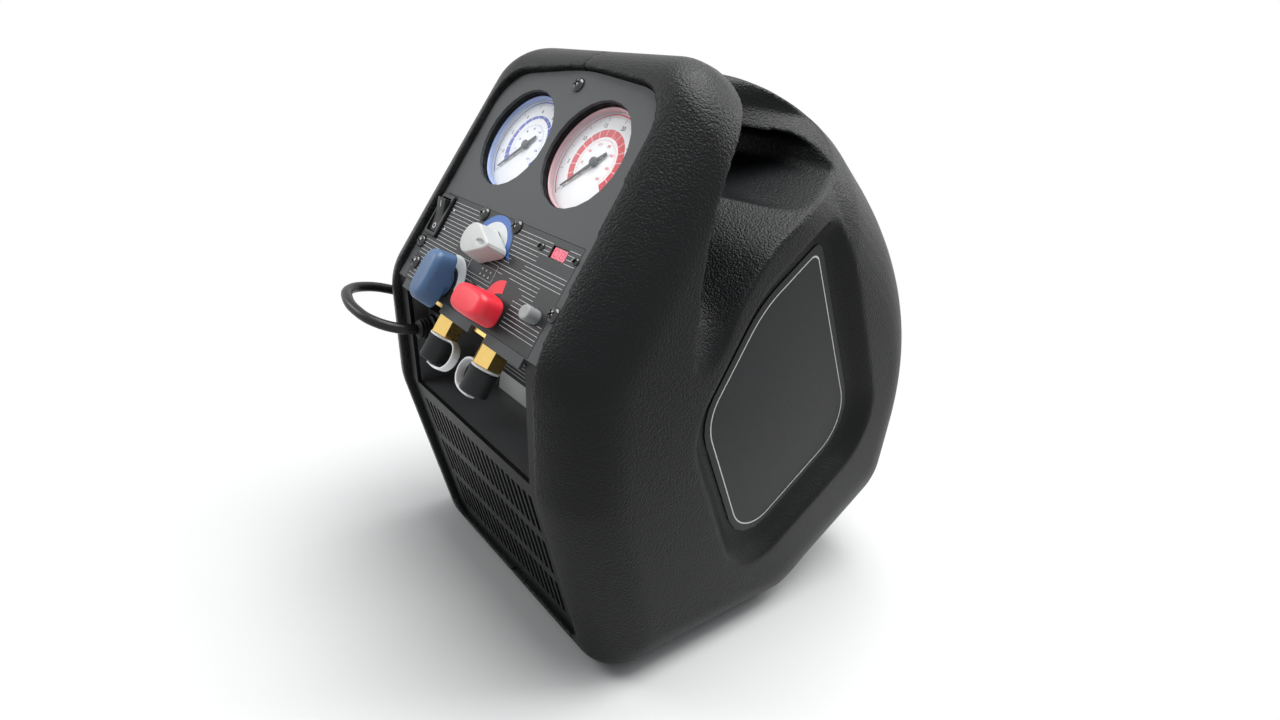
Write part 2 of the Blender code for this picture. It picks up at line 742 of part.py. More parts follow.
def make_front(root, panel_frame, strip_frame, grey, black, film):
    """Control panel, its overlay and the lower front frame."""
    outline = panel_outline(GAP, -GAP)
    panel = add("control_panel", prism(outline, -PANEL_THICKNESS, 0), grey, panel_frame)
    lip = [(-LIP_HALF, 3 * MM), (-LIP_HALF, -LIP_DROP)]
    for x in (-VALVE_X, VALVE_X):
        lip += [(x - NOTCH_WIDTH / 2, -LIP_DROP), (x - NOTCH_WIDTH / 2, -0.5 * MM),
                (x + NOTCH_WIDTH / 2, -0.5 * MM), (x + NOTCH_WIDTH / 2, -LIP_DROP)]
    lip += [(LIP_HALF, -LIP_DROP), (LIP_HALF, 3 * MM)]
    unite(panel, "lip_tool", prism(lip, -PANEL_THICKNESS, 0), panel_frame)
    depth = OVERLAY_THICKNESS + GAP
    recess = [(-OVERLAY_HALF - GAP, OVERLAY_FOOT_S - GAP), (OVERLAY_HALF + GAP, OVERLAY_FOOT_S - GAP),
              (OVERLAY_HALF + GAP, OVERLAY_TOP_S + GAP), (-OVERLAY_HALF - GAP, OVERLAY_TOP_S + GAP)]
    cut(panel, "overlay_recess_tool", prism(recess, -depth, 5 * MM), panel_frame)
    film_outline = [(-OVERLAY_HALF, OVERLAY_FOOT_S), (OVERLAY_HALF, OVERLAY_FOOT_S),
                    (OVERLAY_HALF, OVERLAY_TOP_S), (-OVERLAY_HALF, OVERLAY_TOP_S)]
    overlay = add("panel_overlay", prism(film_outline, -OVERLAY_THICKNESS, 0), film, panel_frame)
    for side in (-1, 1):
        cut(panel, "window_tool_%d" % side, turned([(WINDOW_RADIUS, -5 * MM), (WINDOW_RADIUS, 5 * MM)], 24),
            panel_frame, (side * GAUGE_X, GAUGE_S, 0))
    holes = {"function": (*FUNCTION_AT, STEM_RADIUS + GAP), "reset": (*RESET_AT, RESET_RADIUS + GAP),
             "inlet": (-VALVE_X, VALVE_S, STEM_RADIUS + GAP), "outlet": (VALVE_X, VALVE_S, STEM_RADIUS + GAP)}
    for name, (x, s) in PANEL_SCREWS.items():
        holes[name] = (x, s, SCREW_RADIUS + GAP)
    for side in (-1, 1):
        holes["display_%d" % side] = (DISPLAY_AT[0] + side * DISPLAY_SCREW_X, DISPLAY_AT[1], 1.0 * MM + GAP)
    drills = [shift(hole(radius, -5 * MM, 5 * MM), (x, s, 0)) for x, s, radius in holes.values()]
    x, s = DISPLAY_AT
    half = DISPLAY_WIDTH / 2 + GAP
    tall = DISPLAY_HEIGHT / 2 + GAP
    drills.append(box(x - half, x + half, s - tall, s + tall, -5 * MM, 5 * MM))
    drill = cut(panel, "panel_drill_tool", joined(drills), panel_frame)
    boolean(overlay, drill, "DIFFERENCE")
    half = BEZEL_WIDTH / 2 - 1.6 * MM
    tall = BEZEL_LENGTH / 2 - 1.6 * MM
    window = cut(panel, "switch_hole", box(-half, half, -tall, tall, -5 * MM, 5 * MM), panel_frame,
                 (*SWITCH_AT, 0))
    half = BEZEL_WIDTH / 2 + GAP
    tall = BEZEL_LENGTH / 2 + GAP
    cut(overlay, "bezel_hole", box(-half, half, -tall, tall, -5 * MM, 5 * MM), panel_frame, (*SWITCH_AT, 0))


def make_grille(root, chin_frame, black):
    """Lower front frame: two strips beside the recess, and the chin with its slots."""
    half = OPENING_FOOT_HALF - GAP
    foot_half = half - 10 * MM
    chin = (front_corners(0)[1] - front_corners(0)[0]).length
    inner = TRAY_HALF
    columns = [[-foot_half, -foot_half + 10 * MM, foot_half - 10 * MM, foot_half]]
    columns += [[-half, -inner, inner, half] for _ in range(3)]
    rows = [between(0, 1, GRILLE_FOOT / chin), between(0, 1, (GRILLE_FOOT + 12 * MM) / chin),
            between(1, 1, 0), between(2, 2, 0)]
    present = {(0, 0), (0, 1), (0, 2), (1, 0), (1, 1), (1, 2), (2, 0), (2, 2)}
    mesh = front_plate(columns, rows, present, -GRILLE_THICKNESS, 0)
    trim = PANEL_THICKNESS + 2 * GAP
    grille = add("front_grille", mesh, black, root)
    cut(grille, "panel_clearance_tool", prism(panel_outline(-2 * MM), -trim, 10 * MM),
        bpy.data.objects["panel_frame"])
    pitch = 2 * SLOT_FIELD_HALF / SLOT_COLUMNS
    rise = (chin - SLOT_TOP - SLOT_FOOT - GRILLE_FOOT + 2 * MM - SLOT_BAR * (SLOT_ROWS - 1)) / SLOT_ROWS
    slots = []
    for row in range(SLOT_ROWS):
        top = -SLOT_TOP - row * (rise + SLOT_BAR)
        for column in range(SLOT_COLUMNS):
            x = -SLOT_FIELD_HALF + pitch * (column + 0.5)
            slots.append(box(x - SLOT_WIDTH / 2, x + SLOT_WIDTH / 2, top - rise, top, -5 * MM, 5 * MM))
    cut(grille, "slot_tool", joined(slots), chin_frame)


def make_tray(root, black):
    """Recess behind the ports: floor, back and side walls, with a post for the cord gland."""
    front = front_corners(-(GRILLE_THICKNESS + GAP))
    back_foot = Vector((TRAY_BACK_Y, SHELF_Z + TRAY_BACK_RISE))
    top = front[1].lerp(front[2], (TRAY_TOP_Z - front[1].y) / (front[2].y - front[1].y))
    lip = front[1] + (front[0] - front[1]).normalized() * TRAY_DROP
    profile = [lip, back_foot, Vector((TRAY_BACK_Y, TRAY_TOP_Z)), top]
    outer = inset_corners(profile, [-TRAY_WALL, -TRAY_WALL, 0, -3 * MM])
    inner = inset_corners(profile, [0, 0, -5 * MM, -5 * MM])
    tray = add("port_tray", turn_side(prism([tuple(p) for p in outer], -TRAY_HALF - TRAY_WALL,
                                            TRAY_HALF + TRAY_WALL)), black, root)
    cut(tray, "tray_tool", turn_side(prism([tuple(p) for p in inner], -TRAY_HALF, TRAY_HALF)), root)
    cut(tray, *lower_opening(-1 * MM, -GRILLE_THICKNESS - GAP, 30 * MM, "tray_front_tool"), root)
    x, z = GLAND_AT
    unite(tray, "post_tool", box(-TRAY_HALF - TRAY_WALL / 2, x + GLAND_POST_HALF, GLAND_POST_FRONT_Y,
                                 TRAY_BACK_Y + TRAY_WALL / 2, z - 11 * MM, z + 11 * MM), root)
    cut(tray, "post_bore_tool", turn_down(hole(GLAND_SHANK + GAP, -TRAY_BACK_Y - 5 * MM, 0)),
        root, (x, 0, z))


def make_gauge(name, side, panel_frame, surfaces):
    """Gauge behind its window: can, dial, needle and lens."""
    at = (side * GAUGE_X, GAUGE_S, 0)
    front = -PANEL_THICKNESS - GAP
    back = front - GAUGE_DEPTH
    inner = GAUGE_RADIUS - GAUGE_WALL
    bore = 0.9 * MM
    body = turned([(bore, back), (GAUGE_RADIUS, back), (GAUGE_RADIUS, front), (inner, front),
                   (inner, back + GAUGE_WALL), (bore, back + GAUGE_WALL)], 24, ring=True)
    can = add(name + "_gauge_body", body, surfaces["black"], panel_frame, at)
    unite(can, name + "_boss_tool", box(-7 * MM, 7 * MM, -22 * MM, -8 * MM, back - 8 * MM, back + 0.5 * MM),
          panel_frame, at)
    dial = turned([(bore, DIAL_H - 1 * MM), (inner - GAP, DIAL_H - 1 * MM), (inner - GAP, DIAL_H),
                   (bore, DIAL_H)], 24, ring=True)
    add(name + "_gauge_dial", dial, surfaces["white"], panel_frame, at)
    reach = inner * 0.78
    tail = inner * 0.28
    hub = 3 * MM
    needle = [(-tail, -0.8 * MM), (-hub * 0.9, -1 * MM)]
    needle += [(hub * math.cos(a), hub * math.sin(a)) for a in np.radians([-120, -90, -60])]
    needle += [(hub * 0.9, -0.9 * MM), (reach, -0.3 * MM), (reach, 0.3 * MM), (hub * 0.9, 0.9 * MM)]
    needle += [(hub * math.cos(a), hub * math.sin(a)) for a in np.radians([60, 90, 120])]
    needle += [(-hub * 0.9, 1 * MM), (-tail, 0.8 * MM)]
    pointer = add(name + "_gauge_needle", prism(needle, DIAL_H + 0.8 * MM, DIAL_H + 1.6 * MM),
                  surfaces["black"], panel_frame, at)
    unite(pointer, name + "_pivot_tool", turned([(bore - GAP, DIAL_H - 3 * MM), (bore - GAP, DIAL_H + 1.2 * MM)],
                                                8), panel_frame, at)
    pointer.rotation_euler = (0, 0, GAUGE_ZERO)
    edge = inner - GAP
    add(name + "_gauge_lens", turned([(edge, LENS_H - LENS_THICKNESS), (edge, LENS_H)], 24),
        surfaces["clear"], panel_frame, at)


def knob_form(rows, spread, segments=24):
    """Knob from rows of (height, scale), where spread gives the outline's reach at an angle."""
    loops = []
    for height, scale, blend in rows:
        loop = []
        for i in range(segments):
            angle = math.tau * i / segments
            reach = spread(angle, blend) * scale
            loop.append((reach * math.cos(angle), reach * math.sin(angle), height))
        loops.append(loop)
    return loft(loops)


def nose_reach(angle, blend):
    """Round hub drawn out to a pointer along +X."""
    angle = abs((angle + math.pi) % math.tau - math.pi)
    tip = 2.6 * MM
    along = FUNCTION_NOSE - tip
    lean = math.asin((FUNCTION_HUB - tip) / along)
    reach = FUNCTION_HUB
    if angle < math.pi / 2 - lean:
        straight = FUNCTION_HUB / math.cos(math.pi / 2 - lean - angle)
        offset = math.sin(angle) * along
        rounded = math.cos(angle) * along + math.sqrt(max(tip ** 2 - offset ** 2, 0)) if offset < tip else 0
        reach = min(straight, rounded) if rounded else straight
    return FUNCTION_HUB + (reach - FUNCTION_HUB) * blend


def bar_reach(angle, blend):
    """Rounded bar along X, easing to a round skirt."""
    power = 3.2
    across = abs(math.cos(angle) / BAR_HALF_LENGTH) ** power + abs(math.sin(angle) / BAR_HALF_WIDTH) ** power
    return BAR_HALF_WIDTH + (across ** (-1 / power) - BAR_HALF_WIDTH) * blend


def make_knobs(panel_frame, surfaces):
    """Pointer knob and the two bar knobs, each bored for its stem."""
    lift = KNOB_LIFT
    pointer_rows = [(lift, 1.0, 0), (3.5 * MM, 1.0, 0), (3.5 * MM, 1.0, 1), (FUNCTION_HEIGHT - 1.5 * MM, 0.93, 1),
                    (FUNCTION_HEIGHT, 0.84, 1)]
    knobs = [("function_knob", FUNCTION_AT, pointer_rows, nose_reach, 0.0, "knob_grey", FUNCTION_HEIGHT)]
    bar_rows = [(lift, 1.0, 0), (2.5 * MM, 1.0, 0), (3.5 * MM, 1.0, 1), (BAR_HEIGHT * 0.55, 0.97, 1),
                (BAR_HEIGHT * 0.85, 0.88, 1), (BAR_HEIGHT, 0.70, 1)]
    knobs.append(("inlet_knob", (-VALVE_X, VALVE_S), bar_rows, bar_reach, math.pi / 2, "knob_blue", BAR_HEIGHT))
    knobs.append(("outlet_knob", (VALVE_X, VALVE_S), bar_rows, bar_reach, 0.0, "knob_red", BAR_HEIGHT))
    for name, at, rows, spread, turn, surface, height in knobs:
        knob = add(name, knob_form(rows, spread), surfaces[surface], panel_frame, (*at, 0))
        knob.rotation_euler = (0, 0, turn)
        cut(knob, name + "_bore", hole(STEM_RADIUS + GAP, -1 * MM, height * 0.6), panel_frame, (*at, 0))


def make_valves(panel_frame, brass):
    """Brass bodies behind the panel: two with flare ports, and the changeover valve."""
    front = -PANEL_THICKNESS - GAP
    for name, x in (("inlet_valve", -VALVE_X), ("outlet_valve", VALVE_X)):
        valve = add(name, box(-VALVE_HALF, VALVE_HALF, HEX_TOP_S - VALVE_S, VALVE_HALF + 1.5 * MM, -VALVE_BACK,
                              front), brass, panel_frame, (x, VALVE_S, 0))
        stem = turned([(STEM_RADIUS, front - 2 * MM), (STEM_RADIUS, BAR_HEIGHT * 0.6 - GAP)], 12)
        unite(valve, name + "_stem_tool", stem, panel_frame, (x, VALVE_S, 0))
        port = turn_down(loft([circle(HEX_RADIUS, -HEX_TOP_S - 2 * MM, 6, phase=math.pi / 6),
                               circle(HEX_RADIUS, -HEX_FOOT_S, 6, phase=math.pi / 6)]))
        unite(valve, name + "_hex_tool", port, panel_frame, (x, 0, PORT_H))
        neck = turn_down(turned([(PORT_RADIUS, -HEX_FOOT_S - 2 * MM), (PORT_RADIUS, -PORT_END_S - 1 * MM),
                                 (PORT_RADIUS - 1.2 * MM, -PORT_END_S)], 16))
        unite(valve, name + "_neck_tool", neck, panel_frame, (x, 0, PORT_H))
    half = 13 * MM
    valve = add("function_valve", box(-half, half, -half, half, -VALVE_BACK, front), brass, panel_frame,
                (*FUNCTION_AT, 0))
    stem = turned([(STEM_RADIUS, front - 2 * MM), (STEM_RADIUS, FUNCTION_HEIGHT * 0.6 - GAP)], 12)
    unite(valve, "function_stem_tool", stem, panel_frame, (*FUNCTION_AT, 0))


def strap_points(side):
    """Middle line (x, s) of a tether, from the ring on the port round to the end of the cap."""
    ring_s = HEX_FOOT_S - GAP - STRAP_THICKNESS / 2
    end_s = PORT_END_S - CAP_WALL - 3 * GAP - STRAP_THICKNESS / 2
    reach = 17 * MM
    return [Vector((side * 7.5 * MM, ring_s)), Vector((side * (reach - 3 * MM), ring_s - 1 * MM)),
            Vector((side * (reach + 1 * MM), ring_s - 7 * MM)), Vector((side * reach, end_s + 6 * MM)),
            Vector((side * 9 * MM, end_s - 1 * MM)), Vector((0, end_s))]


def make_caps(panel_frame, surfaces):
    """Rubber caps and the tethers that loop from each port to its cap."""
    top = -HEX_FOOT_S + STRAP_THICKNESS + 2 * GAP
    end = -PORT_END_S + CAP_WALL + GAP
    bore = PORT_RADIUS + GAP
    for name, x, side in (("inlet", -VALVE_X, 1), ("outlet", VALVE_X, -1)):
        at = (x, 0, PORT_H)
        cap = turned([(bore, end - CAP_WALL), (bore, top), (CAP_RADIUS, top), (CAP_RADIUS, end - 1 * MM),
                      (CAP_RADIUS - 1 * MM, end)], 14)
        add(name + "_cap", turn_down(cap), surfaces["rubber"], panel_frame, at)
        points = strap_points(side)
        curve = []
        for i in range(len(points) - 1):
            before = points[max(i - 1, 0)]
            after = points[min(i + 2, len(points) - 1)]
            for k in range(2):
                t = k / 2
                a, b = points[i], points[i + 1]
                curve.append(0.5 * (2 * a + (b - before) * t + (2 * before - 5 * a + 4 * b - after) * t * t
                                    + (3 * a - before - 3 * b + after) * t ** 3))
        curve.append(points[-1])
        loops = []
        for i, point in enumerate(curve):
            along = (curve[min(i + 1, len(curve) - 1)] - curve[max(i - 1, 0)]).normalized()
            across = Vector((-along.y, along.x)) * STRAP_THICKNESS / 2
            low, high = point - across, point + across
            loops.append([(low.x, low.y, -STRAP_WIDTH / 2), (high.x, high.y, -STRAP_WIDTH / 2),
                          (high.x, high.y, STRAP_WIDTH / 2), (low.x, low.y, STRAP_WIDTH / 2)])
        strap = add(name + "_strap", loft(loops), surfaces["strap"], panel_frame, at)
        ring_top = -HEX_FOOT_S + GAP
        ring = turned([(bore, ring_top), (CAP_RADIUS, ring_top), (CAP_RADIUS, ring_top + STRAP_THICKNESS),
                       (bore, ring_top + STRAP_THICKNESS)], 14, ring=True)
        unite(strap, name + "_strap_ring_tool", turn_down(ring), panel_frame, at)


def make_switch(panel_frame, surfaces):
    """Rocker switch: bezel with its box, and the rocker, at rest on its lower end."""
    at = (*SWITCH_AT, 0)
    half, tall = BEZEL_WIDTH / 2, BEZEL_LENGTH / 2
    depth = -22 * MM
    bezel = add("switch_bezel", box(-half, half, -tall, tall, GAP, BEZEL_HEIGHT), surfaces["black"],
                panel_frame, at)
    unite(bezel, "switch_box_tool", box(-half + 2 * MM, half - 2 * MM, -tall + 2 * MM, tall - 2 * MM, depth,
                                        1 * MM), panel_frame, at)
    clear = 0.5 * MM
    cut(bezel, "rocker_well_tool", box(-ROCKER_WIDTH / 2 - clear, ROCKER_WIDTH / 2 + clear,
                                       -ROCKER_LENGTH / 2 - clear, ROCKER_LENGTH / 2 + clear, -9 * MM, 5 * MM),
        panel_frame, at)
    reach = ROCKER_LENGTH / 2 - 0.3 * MM
    profile = [(-reach, -1.2 * MM), (-reach * 0.45, -4.5 * MM), (reach * 0.45, -4.5 * MM), (reach, -1.2 * MM),
               (reach, 3.4 * MM), (0, 2.0 * MM), (-reach, 3.4 * MM)]
    rocker = prism(profile, -ROCKER_WIDTH / 2, ROCKER_WIDTH / 2)
    made = add("switch_rocker", turn_side(rocker), surfaces["black"], panel_frame, at)
    made.rotation_euler = (ROCKER_TILT, 0, 0)


def make_reset(panel_frame, surfaces):
    """Reset button and the high-pressure cut-out behind it."""
    at = (*RESET_AT, 0)
    rows = [(RESET_RADIUS, -4 * MM), (RESET_RADIUS, RESET_HEIGHT - 0.6 * MM), (RESET_RADIUS - 0.6 * MM, RESET_HEIGHT)]
    add("reset_button", turned(rows, 16), surfaces["knob_grey"], panel_frame, at)
    front = -PANEL_THICKNESS - GAP
    bore = RESET_RADIUS + GAP
    floor = -4 * MM - RESET_TRAVEL - GAP
    cup = turned([(bore, floor), (bore, front), (8 * MM, front), (8 * MM, -25 * MM)], 16)
    add("pressure_switch", cup, surfaces["steel"], panel_frame, at)


def make_display(panel_frame, surfaces):
    """Display with its flange and small screws, and the board behind it."""
    at = (*DISPLAY_AT, 0)
    front = -PANEL_THICKNESS - GAP
    flange = DISPLAY_SCREW_X + 4 * MM
    half, tall = DISPLAY_WIDTH / 2, DISPLAY_HEIGHT / 2
    module = add("display_module", box(-flange, flange, -6 * MM, 6 * MM, front - 2 * MM, front),
                 surfaces["display"], panel_frame, at)
    unite(module, "display_face_tool", box(-half, half, -tall, tall, front - 1 * MM, -0.8 * MM), panel_frame, at)
    unite(module, "display_back_tool", box(-10 * MM, 10 * MM, -5 * MM, 5 * MM, front - 11 * MM, front - 1 * MM),
          panel_frame, at)
    board = front - 11 * MM - GAP
    add("circuit_board", box(-21 * MM, 13 * MM, -15 * MM, 14 * MM, board - 1.6 * MM, board), surfaces["board"],
        panel_frame, at)
    for name, side in (("display_screw_left", -1), ("display_screw_right", 1)):
        x = side * DISPLAY_SCREW_X
        cut(module, name + "_bore", hole(1 * MM + GAP, -9 * MM, 5 * MM), panel_frame,
            (at[0] + x, at[1], 0))
        rows = [(1 * MM, -6 * MM), (1 * MM, GAP), (2.1 * MM, GAP), (1.6 * MM, 1.5 * MM)]
        add(name, turned(rows, 8), surfaces["screw"], panel_frame, (at[0] + x, at[1], 0))


def make_panel_screws(panel_frame, screw_surface):
    rows = [(SCREW_RADIUS, -SCREW_LENGTH), (SCREW_RADIUS, GAP), (SCREW_HEAD, GAP), (SCREW_HEAD, 1.2 * MM),
            (SCREW_HEAD * 0.6, 2.7 * MM)]
    for name, (x, s) in PANEL_SCREWS.items():
        add(name, turned(rows, 10), screw_surface, panel_frame, (x, s, 0))


def make_air_side(chin_frame, surfaces):
    """Condenser coil behind the grille, then the shroud, fan and fan motor."""
    chin = (front_corners(0)[1] - front_corners(0)[0]).length
    foot = -chin + 16 * MM
    middle = foot + COIL_HEIGHT / 2
    front = -GRILLE_THICKNESS - COIL_GAP
    back = front - COIL_DEPTH
    plate = 2 * MM
    seat = -GRILLE_THICKNESS - GAP
    inner = COIL_HALF - plate
    coil = add("condenser_coil", box(-COIL_HALF, -inner, foot, foot + COIL_HEIGHT, back, front),
               surfaces["fins"], chin_frame)
    unite(coil, "coil_end_tool", box(inner, COIL_HALF, foot, foot + COIL_HEIGHT, back, front), chin_frame)
    for name, x in (("coil_tab_left", -COIL_HALF), ("coil_tab_right", inner)):
        unite(coil, name, box(x + 0.2 * MM, x + plate - 0.2 * MM, foot + COIL_TAB_FOOT, foot + COIL_HEIGHT
                              - 5 * MM, front - 1 * MM, seat), chin_frame)
    core = box(-COIL_HALF + 1 * MM, COIL_HALF - 1 * MM, foot + 2 * MM, foot + COIL_HEIGHT - 2 * MM, back + 2 * MM,
               front - 5 * MM)
    unite(coil, "coil_core_tool", core, chin_frame)
    pitch = (2 * COIL_HALF - 2 * plate) / (FIN_COUNT + 1)
    fins = []
    for i in range(FIN_COUNT):
        x = -COIL_HALF + plate + pitch * (i + 1)
        fins.append(box(x - 0.5 * MM, x + 0.5 * MM, foot + 3 * MM, foot + COIL_HEIGHT - 3 * MM, front - 8 * MM,
                        front - 1 * MM))
    unite(coil, "coil_fin_tool", joined(fins), chin_frame)

    duct = math.hypot(FAN_RADIUS, FAN_TIP_CHORD / 2) / math.cos(math.pi / 20) + FAN_CLEARANCE
    at = (0, middle, 0)
    plate_front = back - GAP
    shroud = add("fan_shroud", box(-COIL_HALF, COIL_HALF, -COIL_HEIGHT / 2, COIL_HEIGHT / 2,
                                   plate_front - 2 * MM, plate_front), surfaces["black"], chin_frame, at)
    fan_front = plate_front - 4 * MM
    arm_front = fan_front - FAN_DEPTH - 2 * MM
    arm_back = arm_front - 3 * MM
    ring = turned([(duct, arm_back), (duct + 2.5 * MM, arm_back), (duct + 2.5 * MM, plate_front - 1 * MM),
                   (duct, plate_front - 1 * MM)], 20, ring=True)
    unite(shroud, "duct_tool", ring, chin_frame, at)
    cut(shroud, "duct_bore_tool", turned([(duct, arm_front + 0.5 * MM), (duct, plate_front + 5 * MM)], 20),
        chin_frame, at)
    for i, turn in enumerate((math.pi / 4, -math.pi / 4)):
        arm = box(-duct - 1 * MM, duct + 1 * MM, -4 * MM, 4 * MM, arm_back, arm_front)
        bmesh.ops.rotate(arm, verts=arm.verts, matrix=Matrix.Rotation(turn, 3, "Z"))
        unite(shroud, "arm_tool_%d" % i, arm, chin_frame, at)
    unite(shroud, "motor_seat_tool", turned([(18 * MM, arm_back), (18 * MM, arm_front)], 12), chin_frame, at)
    cut(shroud, "shaft_hole_tool", hole(3 * MM, arm_back - 5 * MM, arm_front + 5 * MM), chin_frame, at)

    hub = 15 * MM
    fan = add("fan_rotor", turned([(hub, fan_front - FAN_DEPTH), (hub, fan_front), (hub - 3 * MM, fan_front
                                   + 1 * MM)], 20), surfaces["black"], chin_frame, at)
    unite(fan, "fan_shaft_tool", turned([(2.2 * MM, arm_back - 6 * MM), (2.2 * MM, fan_front - 5 * MM)], 10),
          chin_frame, at)
    blades = []
    for i in range(FAN_BLADES):
        sections = []
        for reach, chord, twist in ((hub - 2 * MM, 17 * MM, 0.55), (30 * MM, 22 * MM, 0.42),
                                    (FAN_RADIUS, FAN_TIP_CHORD, 0.32)):
            loop = []
            for u, v in ((-0.5, -0.5), (0, -0.5), (0.5, -0.5), (0.5, 0.5), (0, 0.5), (-0.5, 0.5)):
                camber = 1.5 * MM * (1 - 4 * u * u)
                a = u * chord
                b = v * 1.4 * MM + camber
                loop.append((reach, a * math.cos(twist) - b * math.sin(twist),
                             a * math.sin(twist) + b * math.cos(twist) + fan_front - FAN_DEPTH / 2))
            sections.append(loop)
        blade = loft(sections)
        bmesh.ops.rotate(blade, verts=blade.verts, matrix=Matrix.Rotation(math.tau * i / FAN_BLADES, 3, "Z"))
        blades.append(blade)
    unite(fan, "blade_tool", joined(blades), chin_frame, at)
    seat = arm_back - GAP
    motor = turned([(2.5 * MM, seat - 8 * MM), (2.5 * MM, seat), (20 * MM, seat), (20 * MM, seat - 24 * MM),
                    (17 * MM, seat - 27 * MM)], 18)
    add("fan_motor", motor, surfaces["steel"], chin_frame, at)


def make_machinery(root, surfaces):
    """Base plate with the compressor and its motor, and the rubber feet."""
    inside = CASE_FLOOR + CASE_WALL
    plate_top = inside + GAP + BASE_THICKNESS
    front = FOOT_FRONT_Y - 22 * MM
    rear = FOOT_REAR_Y + 14 * MM
    add("base_plate", box(-BASE_HALF, BASE_HALF, front, rear, inside + GAP, plate_top), surfaces["steel"], root)
    seat = plate_top + GAP
    motor = turned([(MOTOR_RADIUS - 6 * MM, 0), (MOTOR_RADIUS, 6 * MM), (MOTOR_RADIUS, MOTOR_LENGTH)], 24)
    bmesh.ops.rotate(motor, verts=motor.verts, matrix=Matrix.Rotation(-math.pi / 2, 3, "X"))
    body = add("compressor_motor", motor, surfaces["steel"], root, (0, MOTOR_FRONT_Y, SHAFT_Z))
    unite(body, "motor_foot_tool", box(-26 * MM, 26 * MM, MOTOR_FRONT_Y + 10 * MM, MOTOR_FRONT_Y + 60 * MM, seat,
                                       SHAFT_Z - MOTOR_RADIUS + 6 * MM), root)
    start = MOTOR_FRONT_Y + MOTOR_LENGTH + GAP
    end = start + PUMP_LENGTH
    pump = add("compressor", box(-PUMP_HALF, PUMP_HALF, start, end - 12 * MM, seat, SHAFT_Z + PUMP_HALF),
               surfaces["alloy"], root)
    middle = (start + end - 12 * MM) / 2
    heads = []
    for side in (-1, 1):
        barrel = turned([(17 * MM, PUMP_HALF - 3 * MM), (17 * MM, HEAD_REACH)], 10)
        bmesh.ops.rotate(barrel, verts=barrel.verts, matrix=Matrix.Rotation(side * math.pi / 2, 3, "Y"))
        unite(pump, "barrel_tool_%d" % side, barrel, root, (0, middle, SHAFT_Z))
        for i in range(2):
            x = side * (PUMP_HALF + 12 * MM + i * 18 * MM)
            heads.append(box(x - 1.5 * MM, x + 1.5 * MM, middle - 21 * MM, middle + 21 * MM, SHAFT_Z - 21 * MM,
                             SHAFT_Z + 21 * MM))
    unite(pump, "head_fin_tool", joined(heads), root)
    places = [("front", FOOT_FRONT_Y), ("rear", FOOT_REAR_Y)]
    for row, y in places:
        for side, x in (("left", -FOOT_X), ("right", FOOT_X)):
            rows = [(FOOT_RADIUS - 1 * MM, 0), (FOOT_RADIUS, 1 * MM), (FOOT_RADIUS, CASE_FLOOR - GAP)]
            add("foot_%s_%s" % (row, side), turned(rows, 16), surfaces["rubber"], root, (x, y, 0))


def make_rear_frame(root):
    """Frame on the rear wall at the air inlet, with Y straight out of the wall."""
    run = Vector((SHOULDER_Y - REAR_Y, SHOULDER_Z - REAR_CORNER_Z))
    y = REAR_Y + run.x * (INLET_Z - REAR_CORNER_Z) / run.y
    return empty("rear_frame", (0, y, INLET_Z), math.atan2(-run.x, run.y), root)


def make_rear_grille(rear_frame, black):
    """Air inlet in the rear wall, with level slots."""
    half = INLET_HALF - GAP
    height = INLET_HALF_HEIGHT - GAP
    outer = -0.6 * MM
    grille = add("rear_grille", box(-half, half, outer - 2.4 * MM, outer, -height, height), black, rear_frame)
    pitch = (2 * height - 10 * MM) / INLET_SLOTS
    slots = []
    for i in range(INLET_SLOTS):
        z = pitch * (i + 0.5) - height + 5 * MM
        slots.append(box(-half + 7 * MM, half - 7 * MM, outer - 8 * MM, outer + 5 * MM, z - pitch * 0.25,
                         z + pitch * 0.25))
    cut(grille, "rear_slot_tool", joined(slots), rear_frame)


CORD_ROUTE = [(-70, -15, 181), (-84, -23, 184), (-103, -22, 188), (-120, -10, 190), (-131, 10, 188),
              (-134, 40, 176), (-133, 75, 150), (-133, 105, 105), (-134, 130, 55), (-135, 150, 20),
              (-136, 172, 5), (-136.5, 198, 4.2)]


def smooth_route(route, spacing):
    """Evenly spaced points on a smooth curve through a route's own points."""
    points = [Vector(point) for point in route]
    fine = []
    for i in range(len(points) - 1):
        a, b = points[i], points[i + 1]
        before = points[max(i - 1, 0)]
        after = points[min(i + 2, len(points) - 1)]
        for k in range(24):
            t = k / 24
            fine.append(0.5 * (2 * a + (b - before) * t + (2 * before - 5 * a + 4 * b - after) * t * t
                               + (3 * a - before - 3 * b + after) * t ** 3))
    fine.append(points[-1])
    even = [fine[0]]
    walked = spacing / 2
    for here, ahead in zip(fine, fine[1:]):
        walked += (ahead - here).length
        if walked >= spacing:
            even.append(ahead)
            walked = 0.0
    if (even[-1] - fine[-1]).length < spacing / 2:
        even.pop()
    even.append(fine[-1])
    return even


